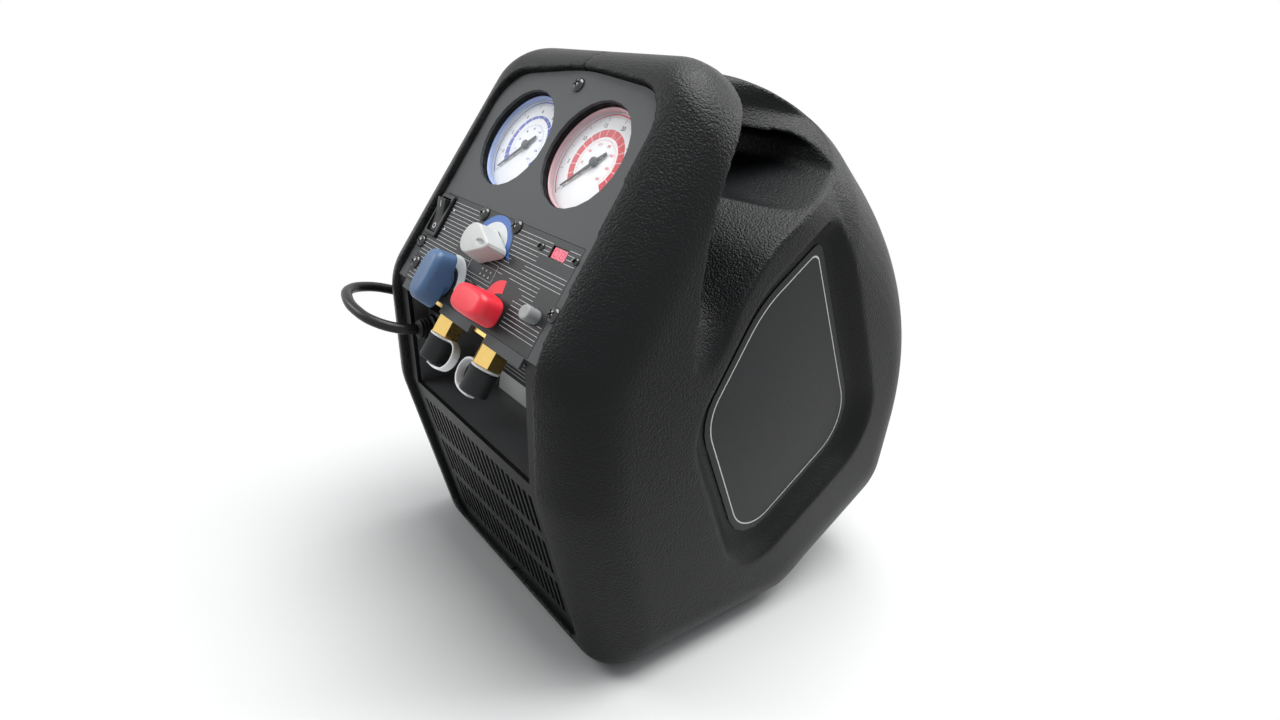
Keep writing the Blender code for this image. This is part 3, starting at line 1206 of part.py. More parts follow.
def make_cord(root, surfaces):
    """Gland, mains cord, its coil on the floor and the plug."""
    x, z = GLAND_AT
    face = -GLAND_POST_FRONT_Y + GAP
    end = face + GLAND_LENGTH
    gland = turned([(GLAND_SHANK, face - 12 * MM), (GLAND_SHANK, face), (9 * MM, face), (9 * MM, face + 3 * MM),
                    (7.4 * MM, face + 4 * MM), (6.6 * MM, end - 1.5 * MM), (CORD_RADIUS + 1 * MM, end)], 16)
    add("cord_gland", turn_down(gland), surfaces["rubber"], root, (x, 0, z))
    route = [(x, -end - GAP, z), (x, -end - 10 * MM, z)]
    route += [tuple(value * MM for value in point) for point in CORD_ROUTE]
    route.append((CORD_COIL_AT[0] + CORD_COIL_TOUCH * math.cos(CORD_JOIN_ANGLE),
                  CORD_COIL_AT[1] + CORD_COIL_TOUCH * math.sin(CORD_JOIN_ANGLE), CORD_FLOOR_Z))

    curve = bpy.data.curves.new("power_cord", "CURVE")
    curve.dimensions = "3D"
    curve.bevel_depth = CORD_RADIUS
    curve.bevel_resolution = 2
    curve.render_resolution_u = 0
    curve.use_fill_caps = True
    spline = curve.splines.new("POLY")
    points = smooth_route(route, 2.6 * 2 * CORD_RADIUS)
    spline.points.add(len(points) - 1)
    for target, point in zip(spline.points, points):
        target.co = (*point, 1)
    curve.materials.append(surfaces["cord"])
    cord = bpy.data.objects.new("power_cord", curve)
    cord.parent = root
    bpy.context.scene.collection.objects.link(cord)

    ring = turned([(CORD_COIL_INNER, 0), (CORD_COIL_OUTER, 0), (CORD_COIL_OUTER, CORD_COIL_HEIGHT),
                   (CORD_COIL_INNER, CORD_COIL_HEIGHT)], 24, ring=True)
    add("cord_coil", ring, surfaces["cord"], root, (*CORD_COIL_AT, 0))
    plug_y = CORD_COIL_AT[1] - CORD_COIL_OUTER - GAP
    plug_rows = [(0, 5 * MM, 5 * MM), (14 * MM, 7 * MM, 6 * MM), (20 * MM, 19 * MM, 11 * MM),
                 (48 * MM, 24 * MM, 12 * MM), (50 * MM, 22 * MM, 10 * MM)]
    loops = []
    for along, wide, tall in plug_rows:
        loops.append([(-wide, -along, -tall), (wide, -along, -tall), (wide, -along, tall), (-wide, -along, tall)])
    plug_at = (CORD_COIL_AT[0], plug_y, 12.3 * MM)
    plug = add("plug", loft(loops), surfaces["cord"], root, plug_at)
    pins = [box(-3.2 * MM, 3.2 * MM, -67 * MM, -49 * MM, 0, 4 * MM)]
    for side in (-1, 1):
        pins.append(box(side * 11 * MM - 2 * MM, side * 11 * MM + 2 * MM, -66 * MM, -49 * MM, -6 * MM, -2 * MM))
    unite(plug, "pin_tool", joined(pins), root, plug_at)


def centre_on_floor(root, left_out):
    """Move the machine so that the middle of its bounding box is over the origin."""
    bpy.context.view_layer.update()
    graph = bpy.context.evaluated_depsgraph_get()
    depths = []
    for piece in bpy.data.objects:
        if piece.hide_render or piece.type == "EMPTY" or piece.name in left_out:
            continue
        shown = piece.evaluated_get(graph)
        mesh = shown.to_mesh()
        depths += [(shown.matrix_world @ vert.co).y for vert in mesh.vertices]
        shown.to_mesh_clear()
    root.location.y = -(min(depths) + max(depths)) / 2


def main():
    for old in list(bpy.data.objects):
        bpy.data.objects.remove(old)
    surfaces = {
        "case": material("case_black", (0.018, 0.019, 0.021), 0.42),
        "panel": material("panel_grey", (0.045, 0.047, 0.05), 0.55),
        "film": material("overlay_film", (0.06, 0.062, 0.066), 0.5),
        "black": material("black_plastic", (0.012, 0.012, 0.013), 0.45),
        "white": material("dial_white", (0.82, 0.83, 0.84), 0.5),
        "clear": material("clear_lens", (0.9, 0.92, 0.93), 0.05, 0, 0.2),
        "knob_grey": material("knob_grey", (0.42, 0.43, 0.44), 0.45),
        "knob_blue": material("knob_blue", (0.05, 0.12, 0.26), 0.4),
        "knob_red": material("knob_red", (0.7, 0.02, 0.04), 0.4),
        "brass": material("brass", (0.72, 0.5, 0.2), 0.3, 1.0),
        "steel": material("steel", (0.5, 0.5, 0.52), 0.4, 1.0),
        "alloy": material("cast_alloy", (0.55, 0.56, 0.57), 0.5, 1.0),
        "fins": material("coil_fins", (0.6, 0.61, 0.62), 0.45, 1.0),
        "rubber": material("black_rubber", (0.015, 0.015, 0.016), 0.7),
        "strap": material("strap_white", (0.75, 0.77, 0.8), 0.4),
        "screw": material("black_screw", (0.02, 0.02, 0.022), 0.25, 0.8),
        "display": material("display_red", (0.25, 0.01, 0.02), 0.3),
        "board": material("circuit_board", (0.02, 0.16, 0.07), 0.5),
        "cord": material("cord_black", (0.015, 0.015, 0.016), 0.4),
        "label": material("label_grey", (0.09, 0.085, 0.085), 0.35),
    }
    root = empty("machine")
    panel_frame = empty("panel_frame", (0, 0, PANEL_FOOT_Z), math.pi / 2 - PANEL_LEAN, root)
    shelf_y = math.tan(STRIP_LEAN) * (PANEL_FOOT_Z - SHELF_Z)
    chin_frame = empty("chin_frame", (0, shelf_y, SHELF_Z), math.pi / 2 + CHIN_LEAN, root)
    rear_frame = make_rear_frame(root)
    case = make_case(root, panel_frame, rear_frame, surfaces["case"])
    mirror_half(case, root, surfaces["case"])
    for name, side in (("side_label_left", -1), ("side_label_right", 1)):
        add(name, make_label(side, root, surfaces["label"]), surfaces["label"], root)
    make_front(root, panel_frame, None, surfaces["panel"], surfaces["black"], surfaces["film"])
    make_grille(root, chin_frame, surfaces["black"])
    make_tray(root, surfaces["black"])
    make_gauge("low", -1, panel_frame, surfaces)
    make_gauge("high", 1, panel_frame, surfaces)
    make_knobs(panel_frame, surfaces)
    make_valves(panel_frame, surfaces["brass"])
    make_caps(panel_frame, surfaces)
    make_switch(panel_frame, surfaces)
    make_reset(panel_frame, surfaces)
    make_display(panel_frame, surfaces)
    make_panel_screws(panel_frame, surfaces["screw"])
    make_air_side(chin_frame, surfaces)
    make_machinery(root, surfaces)
    make_rear_grille(rear_frame, surfaces["black"])
    make_cord(root, surfaces)
    centre_on_floor(root, {"power_cord", "cord_coil", "plug", "cord_gland"})


main()
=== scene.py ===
# %% [markdown]
# # Refrigerant recovery machine
# A portable service machine in a case that is moulded in two halves. Its solids are loaded as a
# fixed frame, and every piece made here sits on them. The front faces -Y and the floor is z = 0.
# Blender works in metres, but the tables below are in millimetres, as a maker would measure, and
# count y from the foot of the panel.

# %% Load the frame
import math

import bmesh
import bpy
from mathutils import Matrix, Vector
from mathutils.bvhtree import BVHTree


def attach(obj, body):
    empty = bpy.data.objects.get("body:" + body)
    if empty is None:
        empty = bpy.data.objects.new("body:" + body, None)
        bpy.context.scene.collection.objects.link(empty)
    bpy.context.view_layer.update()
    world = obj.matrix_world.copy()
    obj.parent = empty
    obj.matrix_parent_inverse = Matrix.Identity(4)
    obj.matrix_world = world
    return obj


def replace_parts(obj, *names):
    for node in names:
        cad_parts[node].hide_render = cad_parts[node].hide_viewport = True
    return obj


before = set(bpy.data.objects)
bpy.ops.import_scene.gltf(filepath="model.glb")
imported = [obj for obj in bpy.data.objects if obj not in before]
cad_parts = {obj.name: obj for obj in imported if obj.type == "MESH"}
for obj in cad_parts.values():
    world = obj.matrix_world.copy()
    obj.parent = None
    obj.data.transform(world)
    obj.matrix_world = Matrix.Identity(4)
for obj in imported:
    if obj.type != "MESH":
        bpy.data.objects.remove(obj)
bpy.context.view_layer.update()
MM = 0.001
BACK_SHIFT = -173.547 * MM  # from the foot of the panel to the frame's own y = 0


def metres(pairs):
    """Pairs of numbers in millimetres, as metres."""
    return [(first * MM, second * MM) for first, second in pairs]


# %% [markdown]
# ## Camera
# The view is three-quarter from the front right, slightly from above, with a wide lens close to the
# machine. A camera could be aimed at a point with a constraint, but here the directions of the
# panel's and the grille's straight lines gave its axes, so they are written as vectors. A camera
# looks along its own -Z, with X to the right and Y up.

# %% Camera
FOCAL_PIXELS, IMAGE_WIDTH, SENSOR_WIDTH = 652, 1280, 36
RIGHT, AHEAD = Vector((0.643, 0.746, 0.173)), Vector((-0.677, 0.659, -0.329)).normalized()
CAMERA_AT = (0.3262, -0.1686 + BACK_SHIFT, 0.3259)
lens = bpy.data.cameras.new("camera")
lens.lens = FOCAL_PIXELS / IMAGE_WIDTH * SENSOR_WIDTH
lens.clip_start = 0.02
camera = bpy.data.objects.new("camera", lens)
side = (RIGHT - AHEAD * RIGHT.dot(AHEAD)).normalized()
turn = Matrix((side, side.cross(AHEAD), -AHEAD)).transposed().to_4x4()
camera.matrix_world = Matrix.Translation(CAMERA_AT) @ turn
bpy.context.scene.collection.objects.link(camera)
bpy.context.scene.camera = camera
bpy.context.scene.view_settings.view_transform = "Standard"
print("camera lens", round(lens.lens, 2), "mm")

# %% [markdown]
# ## Small tools for node trees
# Every material below is a tree of shader nodes. Adding a node, setting its options and joining its
# sockets takes a line each, so a few helpers do that, and a tree then reads like the sums that it
# does.


# %% Helpers for node trees
def feed(tree, socket, value):
    """Set an input to a number or colour, or link another node's output to it."""
    if isinstance(value, bpy.types.NodeSocket):
        tree.links.new(value, socket)
    else:
        socket.default_value = value


def node(tree, kind, values=(), **options):
    """Shader node with its options set and its inputs fed, by name or number."""
    made = tree.nodes.new("ShaderNode" + kind)
    for key, value in options.items():
        setattr(made, key, value)
    for key, value in dict(values).items():
        feed(tree, made.inputs[key], value)
    return made


def maths(tree, operation, *values, clamp=False):
    """Result of a sum on numbers and sockets."""
    return node(tree, "Math", enumerate(values), operation=operation, use_clamp=clamp).outputs[0]


def new_material(name):
    made = bpy.data.materials.new(name)
    made.use_nodes = True
    return made, made.node_tree, made.node_tree.nodes["Principled BSDF"]


# %% [markdown]
# ## Floor, world and lamps
# The machine stands on a pale floor that fades into pure white. The white could come from more
# light, but that would bleach the machine too. So rays from the camera, off a gloss or through
# glass meet a plain white of strength 1, while all other rays see a soft grey room. The floor stays
# a real surface near the machine, so it keeps the shadow, and turns white with the distance from
# the middle.

# %% Floor
FADE_START, FADE_END, FLOOR_HALF = 0.2, 0.55, 14


def background_ray(tree):
    """1 for rays that should meet the white background: from the camera, off a gloss or through glass."""
    path = node(tree, "LightPath").outputs
    either = maths(tree, "MAXIMUM", path["Is Camera Ray"], path["Is Glossy Ray"])
    return maths(tree, "MAXIMUM", either, path["Is Transmission Ray"])


pale, tree, shader = new_material("pale_floor")
for socket, value in (("Base Color", (0.66, 0.66, 0.66, 1)), ("Roughness", 0.8), ("Specular IOR Level", 0.1)):
    shader.inputs[socket].default_value = value
away = node(tree, "VectorMath", {0: node(tree, "TexCoord").outputs["Object"]}, operation="LENGTH")
fade = node(tree, "MapRange", {"From Min": FADE_START, "From Max": FADE_END, "Value": away.outputs["Value"]},
            interpolation_type="SMOOTHSTEP")
share = maths(tree, "MULTIPLY", fade.outputs["Result"], background_ray(tree))
white = node(tree, "Emission")
pick = node(tree, "MixShader", {"Fac": share, 1: shader.outputs["BSDF"], 2: white.outputs["Emission"]})
feed(tree, tree.nodes["Material Output"].inputs["Surface"], pick.outputs["Shader"])

mesh = bmesh.new()
bmesh.ops.create_grid(mesh, x_segments=1, y_segments=1, size=FLOOR_HALF)
data = bpy.data.meshes.new("floor")
mesh.to_mesh(data)
mesh.free()
data.materials.append(pale)
floor = bpy.data.objects.new("floor", data)
bpy.context.scene.collection.objects.link(floor)
print("floor", 2 * FLOOR_HALF, "m wide")

# %% [markdown]
# The world is the room: a soft, slightly blue grey for all light that bounces, and white for what
# is seen.

# %% World
world = bpy.data.worlds.new("studio")
bpy.context.scene.world = world
world.use_nodes = True
tree = world.node_tree
tree.nodes.clear()
soft = node(tree, "Background", {"Color": (0.93, 0.96, 1.0, 1), "Strength": 0.3})
white = node(tree, "Background", {"Color": (1, 1, 1, 1), "Strength": 1.0})
pick = node(tree, "MixShader", {"Fac": background_ray(tree), 1: soft.outputs["Background"],
                                2: white.outputs["Background"]})
node(tree, "OutputWorld", {"Surface": pick.outputs["Shader"]})
print("world: room light", soft.inputs["Strength"].default_value)

# %% [markdown]
# Large soft boxes give broad, soft-edged sheens, which is how the eye tells moulded plastic from
# paint. The one overhead is the brightest and lights the hood and the handle. A smaller one at the
# front left opens up the panel, and one behind draws the rear edges away from the background.


# %% Lamps
def lamp(name, at, towards, size, power):
    """Square soft box at a place, facing a point, with its power in watts."""
    light = bpy.data.lights.new(name, "AREA")
    light.size = size
    light.energy = power
    made = bpy.data.objects.new(name, light)
    aim = Vector(towards) - Vector(at)
    made.matrix_world = Matrix.Translation(at) @ aim.to_track_quat("-Z", "Y").to_matrix().to_4x4()
    bpy.context.scene.collection.objects.link(made)
    print(name, size, "m wide,", power, "W")


lamp("top_box", (0.1, 0.0, 1.5), (0, 0, 0.2), 1.1, 30)
lamp("front_box", (-0.9, -1.1, 0.95), (0, -0.1, 0.25), 0.7, 8.5)
lamp("rear_box", (0.5, 1.0, 1.2), (0.05, 0.05, 0.3), 0.8, 10)

# %% [markdown]
# ## Building blocks
# Most forms here are lofts, spins or flat outlines with thickness. A loft sets loops of points one
# after the other and bridges them, which suits a moulded case whose section changes all the way
# round. Each helper ends in one bmesh, and `piece` turns it into an object that sits at the origin
# and rides on a body.


# %% Helpers that make a form
def ring_of(mesh, points, closed=True):
    """Edge loop through points."""
    verts = [mesh.verts.new(point) for point in points]
    count = len(verts) if closed else len(verts) - 1
    return [mesh.edges.new((verts[i], verts[(i + 1) % len(verts)])) for i in range(count)]


def loft(loops):
    """Closed skin over loops of equal length, with a cap on each end."""
    mesh = bmesh.new()
    rings = [ring_of(mesh, loop) for loop in loops]
    for low, high in zip(rings, rings[1:]):
        bmesh.ops.bridge_loops(mesh, edges=low + high)
    for end in (rings[0], rings[-1]):
        bmesh.ops.contextual_create(mesh, geom=end)
    bmesh.ops.recalc_face_normals(mesh, faces=mesh.faces)
    return mesh


def spun(profile, steps):
    """Solid of revolution about Z from (radius, height) pairs; a profile may close on itself."""
    mesh = bmesh.new()
    edges = ring_of(mesh, [(radius, 0, height) for radius, height in profile], False)
    verts = list(mesh.verts)
    bmesh.ops.spin(mesh, geom=verts + edges, cent=(0, 0, 0), axis=(0, 0, 1), angle=math.tau, steps=steps,
                   use_merge=True)
    bmesh.ops.remove_doubles(mesh, verts=mesh.verts, dist=0.001 * MM)
    holes = [edge for edge in mesh.edges if len(edge.link_faces) == 1]
    if holes:
        bmesh.ops.holes_fill(mesh, edges=holes, sides=0)
    bmesh.ops.recalc_face_normals(mesh, faces=mesh.faces)
    return mesh


def slab(outline, low, high):
    """Flat outline (x, y) with thickness from low to high."""
    mesh = bmesh.new()
    ring_of(mesh, [(x, y, low) for x, y in outline])
    made = bmesh.ops.contextual_create(mesh, geom=list(mesh.edges))["faces"]
    up = bmesh.ops.extrude_face_region(mesh, geom=made)["geom"]
    verts = [item for item in up if isinstance(item, bmesh.types.BMVert)]
    bmesh.ops.translate(mesh, verts=verts, vec=(0, 0, high - low))
    bmesh.ops.recalc_face_normals(mesh, faces=mesh.faces)
    return mesh


def brick(x0, x1, y0, y1, z0, z1):
    return slab([(x0, y0), (x1, y0), (x1, y1), (x0, y1)], z0, z1)


def brick_mm(*sides):
    """Brick with its sides in millimetres."""
    return brick(*(side * MM for side in sides))


# %% Helpers that change or join forms
def soften(mesh, width, angle=30, segments=3):
    """Round every edge that is sharper than an angle."""
    mesh.normal_update()
    sharp = [edge for edge in mesh.edges if len(edge.link_faces) == 2
             and edge.calc_face_angle(0) > math.radians(angle)]
    bmesh.ops.bevel(mesh, geom=sharp, offset=width, offset_type="OFFSET", affect="EDGES", segments=segments,
                    profile=0.5, material=-1, clamp_overlap=True)
    return mesh


def put(mesh, matrix):
    bmesh.ops.transform(mesh, matrix=matrix, verts=mesh.verts)
    return mesh


def sideways(mesh):
    """Turn a solid made along Z to run along X, its (x, y) as (y, z)."""
    return put(mesh, Matrix(((0, 0, 1, 0), (1, 0, 0, 0), (0, 1, 0, 0), (0, 0, 0, 1))))


def merged(meshes):
    """One bmesh out of several, which keeps each one's material numbers."""
    whole = bmesh.new()
    for mesh in meshes:
        data = bpy.data.meshes.new("part")
        mesh.to_mesh(data)
        mesh.free()
        whole.from_mesh(data)
        bpy.data.meshes.remove(data)
    return whole


def painted(mesh, number):
    """Give every face one of the piece's materials, by its number."""
    for face in mesh.faces:
        face.material_index = number
    return mesh


def piece(name, mesh, surfaces, body, sharp=35):
    """Object at the origin with the mesh in its place, riding on a body."""
    data = bpy.data.meshes.new(name)
    mesh.to_mesh(data)
    mesh.free()
    data.shade_smooth()
    data.set_sharp_from_angle(angle=math.radians(sharp))
    for surface in surfaces:
        data.materials.append(FINISH[surface])
    made = bpy.data.objects.new(name, data)
    bpy.context.scene.collection.objects.link(made)
    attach(made, body)
    print(name, len(data.polygons), "faces")
    return made


# %% [markdown]
# Cuts could be modelled face by face, but an exact Boolean modifier cuts any closed form with
# another. The modifiers are put on a hidden object, the result is read back as a mesh, and the
# hidden objects go.


# %% Helpers for modifiers
def hidden(mesh):
    """Object for working on, which is taken away again."""
    data = bpy.data.meshes.new("work")
    mesh.to_mesh(data)
    mesh.free()
    made = bpy.data.objects.new("work", data)
    bpy.context.scene.collection.objects.link(made)
    return made


def evaluated(item):
    """Mesh of an object with its modifiers applied, as a new bmesh."""
    bpy.context.view_layer.update()
    shown = item.evaluated_get(bpy.context.evaluated_depsgraph_get())
    mesh = bmesh.new()
    mesh.from_mesh(shown.to_mesh())
    shown.to_mesh_clear()
    return mesh


def modified(mesh, *steps):
    """The mesh after modifiers, each given as its kind and its settings."""
    item = hidden(mesh)
    for kind, settings in steps:
        step = item.modifiers.new(kind.lower(), kind)
        for key, value in settings.items():
            setattr(step, key, value)
    mesh = evaluated(item)
    bpy.data.objects.remove(item)
    return mesh


def carved(mesh, tools, joined=()):
    """A closed solid with others joined to it, and then with tools cut out of it."""
    united, cut = [hidden(tool) for tool in joined], [hidden(tool) for tool in tools]
    steps = [("BOOLEAN", {"operation": "UNION", "solver": "EXACT", "object": tool}) for tool in united]
    steps += [("BOOLEAN", {"operation": "DIFFERENCE", "solver": "EXACT", "object": tool}) for tool in cut]
    mesh = modified(mesh, *steps)
    for tool in united + cut:
        bpy.data.objects.remove(tool)
    return mesh


# %% [markdown]
# The control panel leans back from the strips beside the port recess, and the chin with the grille
# leans the other way. Working on the panel is easiest in its own frame: X across, Y up the plate, Z
# straight out of it.

# %% Frame of the panel
PANEL_LEAN, STRIP_LEAN, CHIN_LEAN = (math.radians(angle) for angle in (25.3, 9.8, 22.3))
PANEL_FOOT_Z, SHELF_Z = 211 * MM, 137 * MM
SHELF_Y = math.tan(STRIP_LEAN) * (PANEL_FOOT_Z - SHELF_Z)
PANEL = Matrix(((1, 0, 0, 0), (0, math.sin(PANEL_LEAN), -math.cos(PANEL_LEAN), BACK_SHIFT),
                (0, math.cos(PANEL_LEAN), math.sin(PANEL_LEAN), PANEL_FOOT_Z), (0, 0, 0, 1)))


def on_panel(x, s, h=0.0, turned_by=0.0):
    """Place on the panel: x across, s up and h out of it in millimetres, turned about its own Z."""
    return PANEL @ Matrix.Translation((x * MM, s * MM, h * MM)) @ Matrix.Rotation(turned_by, 4, "Z")


# %% [markdown]
# ## Finishes
# Moulded plastic takes its look from a fine pebble grain in the tool, which shows as broken
# highlights. An image of grain would need unwrapping, so it is made as a node group: Voronoi cells
# and a finer noise give the pebbles as a height, and a slow noise gives the uneven sheen of handled
# plastic. Each material sets its own scale.


# %% Node group: moulded grain
def group(name, ins, outs):
    """Empty node group with its input and output nodes."""
    made = bpy.data.node_groups.new(name, "ShaderNodeTree")
    for label, kind, *value in ins:
        socket = made.interface.new_socket(label, in_out="INPUT", socket_type=kind)
        if value:
            socket.default_value = value[0]
    for label, kind in outs:
        made.interface.new_socket(label, in_out="OUTPUT", socket_type=kind)
    return made, made.nodes.new("NodeGroupInput").outputs, made.nodes.new("NodeGroupOutput").inputs


VECTOR, NUMBER = "NodeSocketVector", "NodeSocketFloat"
grain, given, result = group(
    "moulded_grain", [("Vector", VECTOR), ("Scale", NUMBER, 600.0), ("Sheen Scale", NUMBER, 9.0)],
    [("Height", NUMBER), ("Sheen", NUMBER)])
big = node(grain, "TexVoronoi", {"Vector": given["Vector"], "Scale": given["Scale"], "Smoothness": 0.6},
           feature="SMOOTH_F1")
fine_scale = maths(grain, "MULTIPLY", given["Scale"], 1.9)
fine = node(grain, "TexNoise", {"Vector": given["Vector"], "Scale": fine_scale, "Detail": 3})
slow = node(grain, "TexNoise", {"Vector": given["Vector"], "Scale": given["Sheen Scale"], "Detail": 4})
pebble = maths(grain, "SUBTRACT", 1.0, big.outputs["Distance"])
feed(grain, result["Height"], maths(grain, "MULTIPLY_ADD", fine.outputs["Fac"], 0.45, pebble))
feed(grain, result["Sheen"], slow.outputs["Fac"])
print("group", grain.name, "with", len(grain.nodes), "nodes")

# %% [markdown]
# Light dust and tiny rub marks keep large dark surfaces from looking like a computer picture. The
# second group gives a mask of fine specks and one of faint scuffs, used to lift the colour and the
# roughness a little.

# %% Node group: handling marks
marks, given, result = group("handling_marks", [("Vector", VECTOR), ("Amount", NUMBER, 1.0)],
                             [("Dust", NUMBER), ("Scuff", NUMBER)])
speck = node(marks, "TexNoise", {"Vector": given["Vector"], "Scale": 900, "Detail": 2})
cloud = node(marks, "TexNoise", {"Vector": given["Vector"], "Scale": 14, "Detail": 5})
scuff = node(marks, "TexNoise", {"Vector": given["Vector"], "Scale": 60, "Detail": 6, "Distortion": 1.5})
high = maths(marks, "SUBTRACT", speck.outputs["Fac"], 0.56, clamp=True)
dust = maths(marks, "MULTIPLY", maths(marks, "MULTIPLY", high, 4.0), cloud.outputs["Fac"])
worn = maths(marks, "MULTIPLY", maths(marks, "SUBTRACT", scuff.outputs["Fac"], 0.5, clamp=True), 2.0)
for label, mask in (("Dust", dust), ("Scuff", worn)):
    feed(marks, result[label], maths(marks, "MULTIPLY", mask, given["Amount"], clamp=True))
print("group", marks.name, "with", len(marks.nodes), "nodes")

# %% [markdown]
# All finishes share one recipe, so they are made by one function: a colour that dust and scuffs
# lift a little, a roughness that swings slowly over the surface, and the grain as a bump where the
# real surface has one. What is the same all over, such as the metal or the specular level, is set
# on the shader itself.


# %% A maker of finishes
def finish(name, colour, roughness, metallic=0.0, grain_scale=500, depth=0.0, marks_amount=0.5,
           rough_swing=0.12, clear_coat=0.0, emission=None, specular=0.5):
    """Principled material whose colour, gloss and height change over the surface by the two groups."""
    made, tree, shader = new_material(name)
    place = node(tree, "TexCoord").outputs["Object"]
    texture, rub = (node(tree, "Group", node_tree=used) for used in (grain, marks))
    feed(tree, texture.inputs["Scale"], grain_scale)
    feed(tree, rub.inputs["Amount"], marks_amount)
    for part in (texture, rub):
        feed(tree, part.inputs["Vector"], place)
    paler = [min(1, value * 1.35 + 0.02) for value in colour]
    faint = maths(tree, "MULTIPLY", rub.outputs["Scuff"], 0.4)
    share = maths(tree, "ADD", rub.outputs["Dust"], faint, clamp=True)
    mix = node(tree, "Mix", {"A": (*colour, 1), "B": (*paler, 1), "Factor": share}, data_type="RGBA")
    swing = maths(tree, "MULTIPLY_ADD", texture.outputs["Sheen"], rough_swing, roughness - rough_swing / 2)
    rough = maths(tree, "MULTIPLY_ADD", rub.outputs["Scuff"], 0.15, swing, clamp=True)
    values = {"Base Color": mix.outputs["Result"], "Roughness": rough, "Metallic": metallic,
              "Coat Weight": clear_coat, "Specular IOR Level": specular}
    if emission:
        values |= {"Emission Color": (*emission, 1), "Emission Strength": 1.0}
    if depth:
        bump = node(tree, "Bump", {"Distance": depth * MM, "Strength": 1.0,
                                   "Height": texture.outputs["Height"]})
        values["Normal"] = bump.outputs["Normal"]
    for label, value in values.items():
        feed(tree, shader.inputs[label], value)
    return made


# %% [markdown]
# Black parts aren't all the same black. Each has its own grey, its own gloss and its own grain, and that is
# what tells them apart in soft light. The tray is the exception: its grey is a painted sheen, much lighter
# than its black plastic, which stands in for the light that its shelf reflects. The colours are linear values,
# so they are lower than they look on a screen. The grain's scale is in cells per metre and its depth in
# millimetres.

# %% Dark finishes: case, panel, rubber, cord
FINISH = {
    "case": finish("case_black_plastic", (0.0045, 0.005, 0.0055), 0.37, grain_scale=850, depth=0.32,
                   marks_amount=0.08, rough_swing=0.08, specular=0.15),
    "plain_black": finish("smooth_black_plastic", (0.005, 0.0054, 0.006), 0.42, grain_scale=1500, depth=0.03,
                          marks_amount=0.2, specular=0.15),
    # Painted sheen: the port tray is black plastic, but its base colour is a lighter grey all over, walls too,
    # in place of the light that its satin shelf reflects.
    "tray": finish("tray_plastic_painted_sheen", (0.085, 0.088, 0.092), 0.38, grain_scale=1300, depth=0.03,
                   marks_amount=0.2, specular=0.5),
    "panel": finish("panel_grey_coat", (0.05, 0.053, 0.055), 0.48, grain_scale=1700, depth=0.03,
                    marks_amount=0.15, specular=0.25),
    "film": finish("film_dark_grey", (0.022, 0.024, 0.025), 0.42, grain_scale=2500, depth=0.01,
                   marks_amount=0.15, specular=0.25),
    "label": finish("label_film", (0.009, 0.01, 0.011), 0.28, grain_scale=2500, depth=0.008, marks_amount=0.2,
                    specular=0.2),
    "rubber": finish("black_rubber", (0.007, 0.007, 0.008), 0.55, grain_scale=1200, depth=0.03, specular=0.2),
    "cord": finish("cord_sheath", (0.006, 0.006, 0.007), 0.33, grain_scale=700, depth=0.02, specular=0.3),
    "cap": finish("cap_rubber", (0.012, 0.013, 0.014), 0.5, grain_scale=1300, depth=0.02, specular=0.25),
    "switch": finish("switch_black", (0.008, 0.0085, 0.009), 0.35, grain_scale=1500, depth=0.02,
                     specular=0.3),
    "screw": finish("black_oxide", (0.02, 0.02, 0.021), 0.2, metallic=0.4, clear_coat=0.8, specular=0.3),
}
print("dark finishes:", len(FINISH))

# %% Coloured finishes: knobs, print, metals, display
FINISH |= {
    "knob_grey": finish("knob_pale_grey", (0.47, 0.48, 0.47), 0.4, grain_scale=1300, depth=0.015),
    "knob_blue": finish("knob_blue", (0.048, 0.105, 0.21), 0.42, grain_scale=1300, depth=0.015),
    "knob_red": finish("knob_red", (0.72, 0.018, 0.035), 0.38, grain_scale=1300, depth=0.015),
    "button": finish("button_grey", (0.26, 0.27, 0.27), 0.45, grain_scale=1300, depth=0.02),
    "strap": finish("strap_clear_white", (0.8, 0.83, 0.84), 0.35, marks_amount=0.2),
    "white": finish("dial_white", (0.86, 0.87, 0.88), 0.45, marks_amount=0.15),
    "print_white": finish("printed_white", (0.6, 0.62, 0.63), 0.5, marks_amount=0.2),
    "print_blue": finish("printed_blue", (0.03, 0.11, 0.36), 0.45, marks_amount=0.2),
    "print_red": finish("printed_red", (0.66, 0.012, 0.03), 0.45, marks_amount=0.2),
    "ink": finish("black_ink", (0.015, 0.015, 0.018), 0.5, marks_amount=0.1),
    "dial_blue": finish("dial_blue", (0.015, 0.045, 0.4), 0.5, marks_amount=0.2),
    "dial_red": finish("dial_red", (0.6, 0.008, 0.02), 0.5, marks_amount=0.2),
    "rim_blue": finish("rim_clear_blue", (0.33, 0.42, 0.7), 0.2, marks_amount=0.1),
    "rim_red": finish("rim_clear_rose", (0.62, 0.4, 0.43), 0.2, marks_amount=0.1),
    "plate": finish("rating_plate", (0.55, 0.56, 0.55), 0.4, marks_amount=0.3),
    "brass": finish("turned_brass", (0.86, 0.6, 0.2), 0.26, metallic=1.0, grain_scale=900, depth=0.01),
    "steel": finish("pressed_steel", (0.45, 0.46, 0.47), 0.35, metallic=1.0, depth=0.02),
    "alloy": finish("cast_alloy", (0.42, 0.43, 0.44), 0.5, metallic=0.9, depth=0.08),
    "fins": finish("coil_fins", (0.34, 0.35, 0.36), 0.45, metallic=0.9, grain_scale=700, depth=0.03),
    "board": finish("circuit_board", (0.02, 0.14, 0.06), 0.45, grain_scale=600, depth=0.03),
    "led": finish("led_dark_segments", (0.22, 0.0, 0.014), 0.25),
    "led_on": finish("led_lit_window", (0.3, 0.0, 0.02), 0.3, emission=(0.85, 0.07, 0.15)),
}
print("finishes:", len(FINISH))
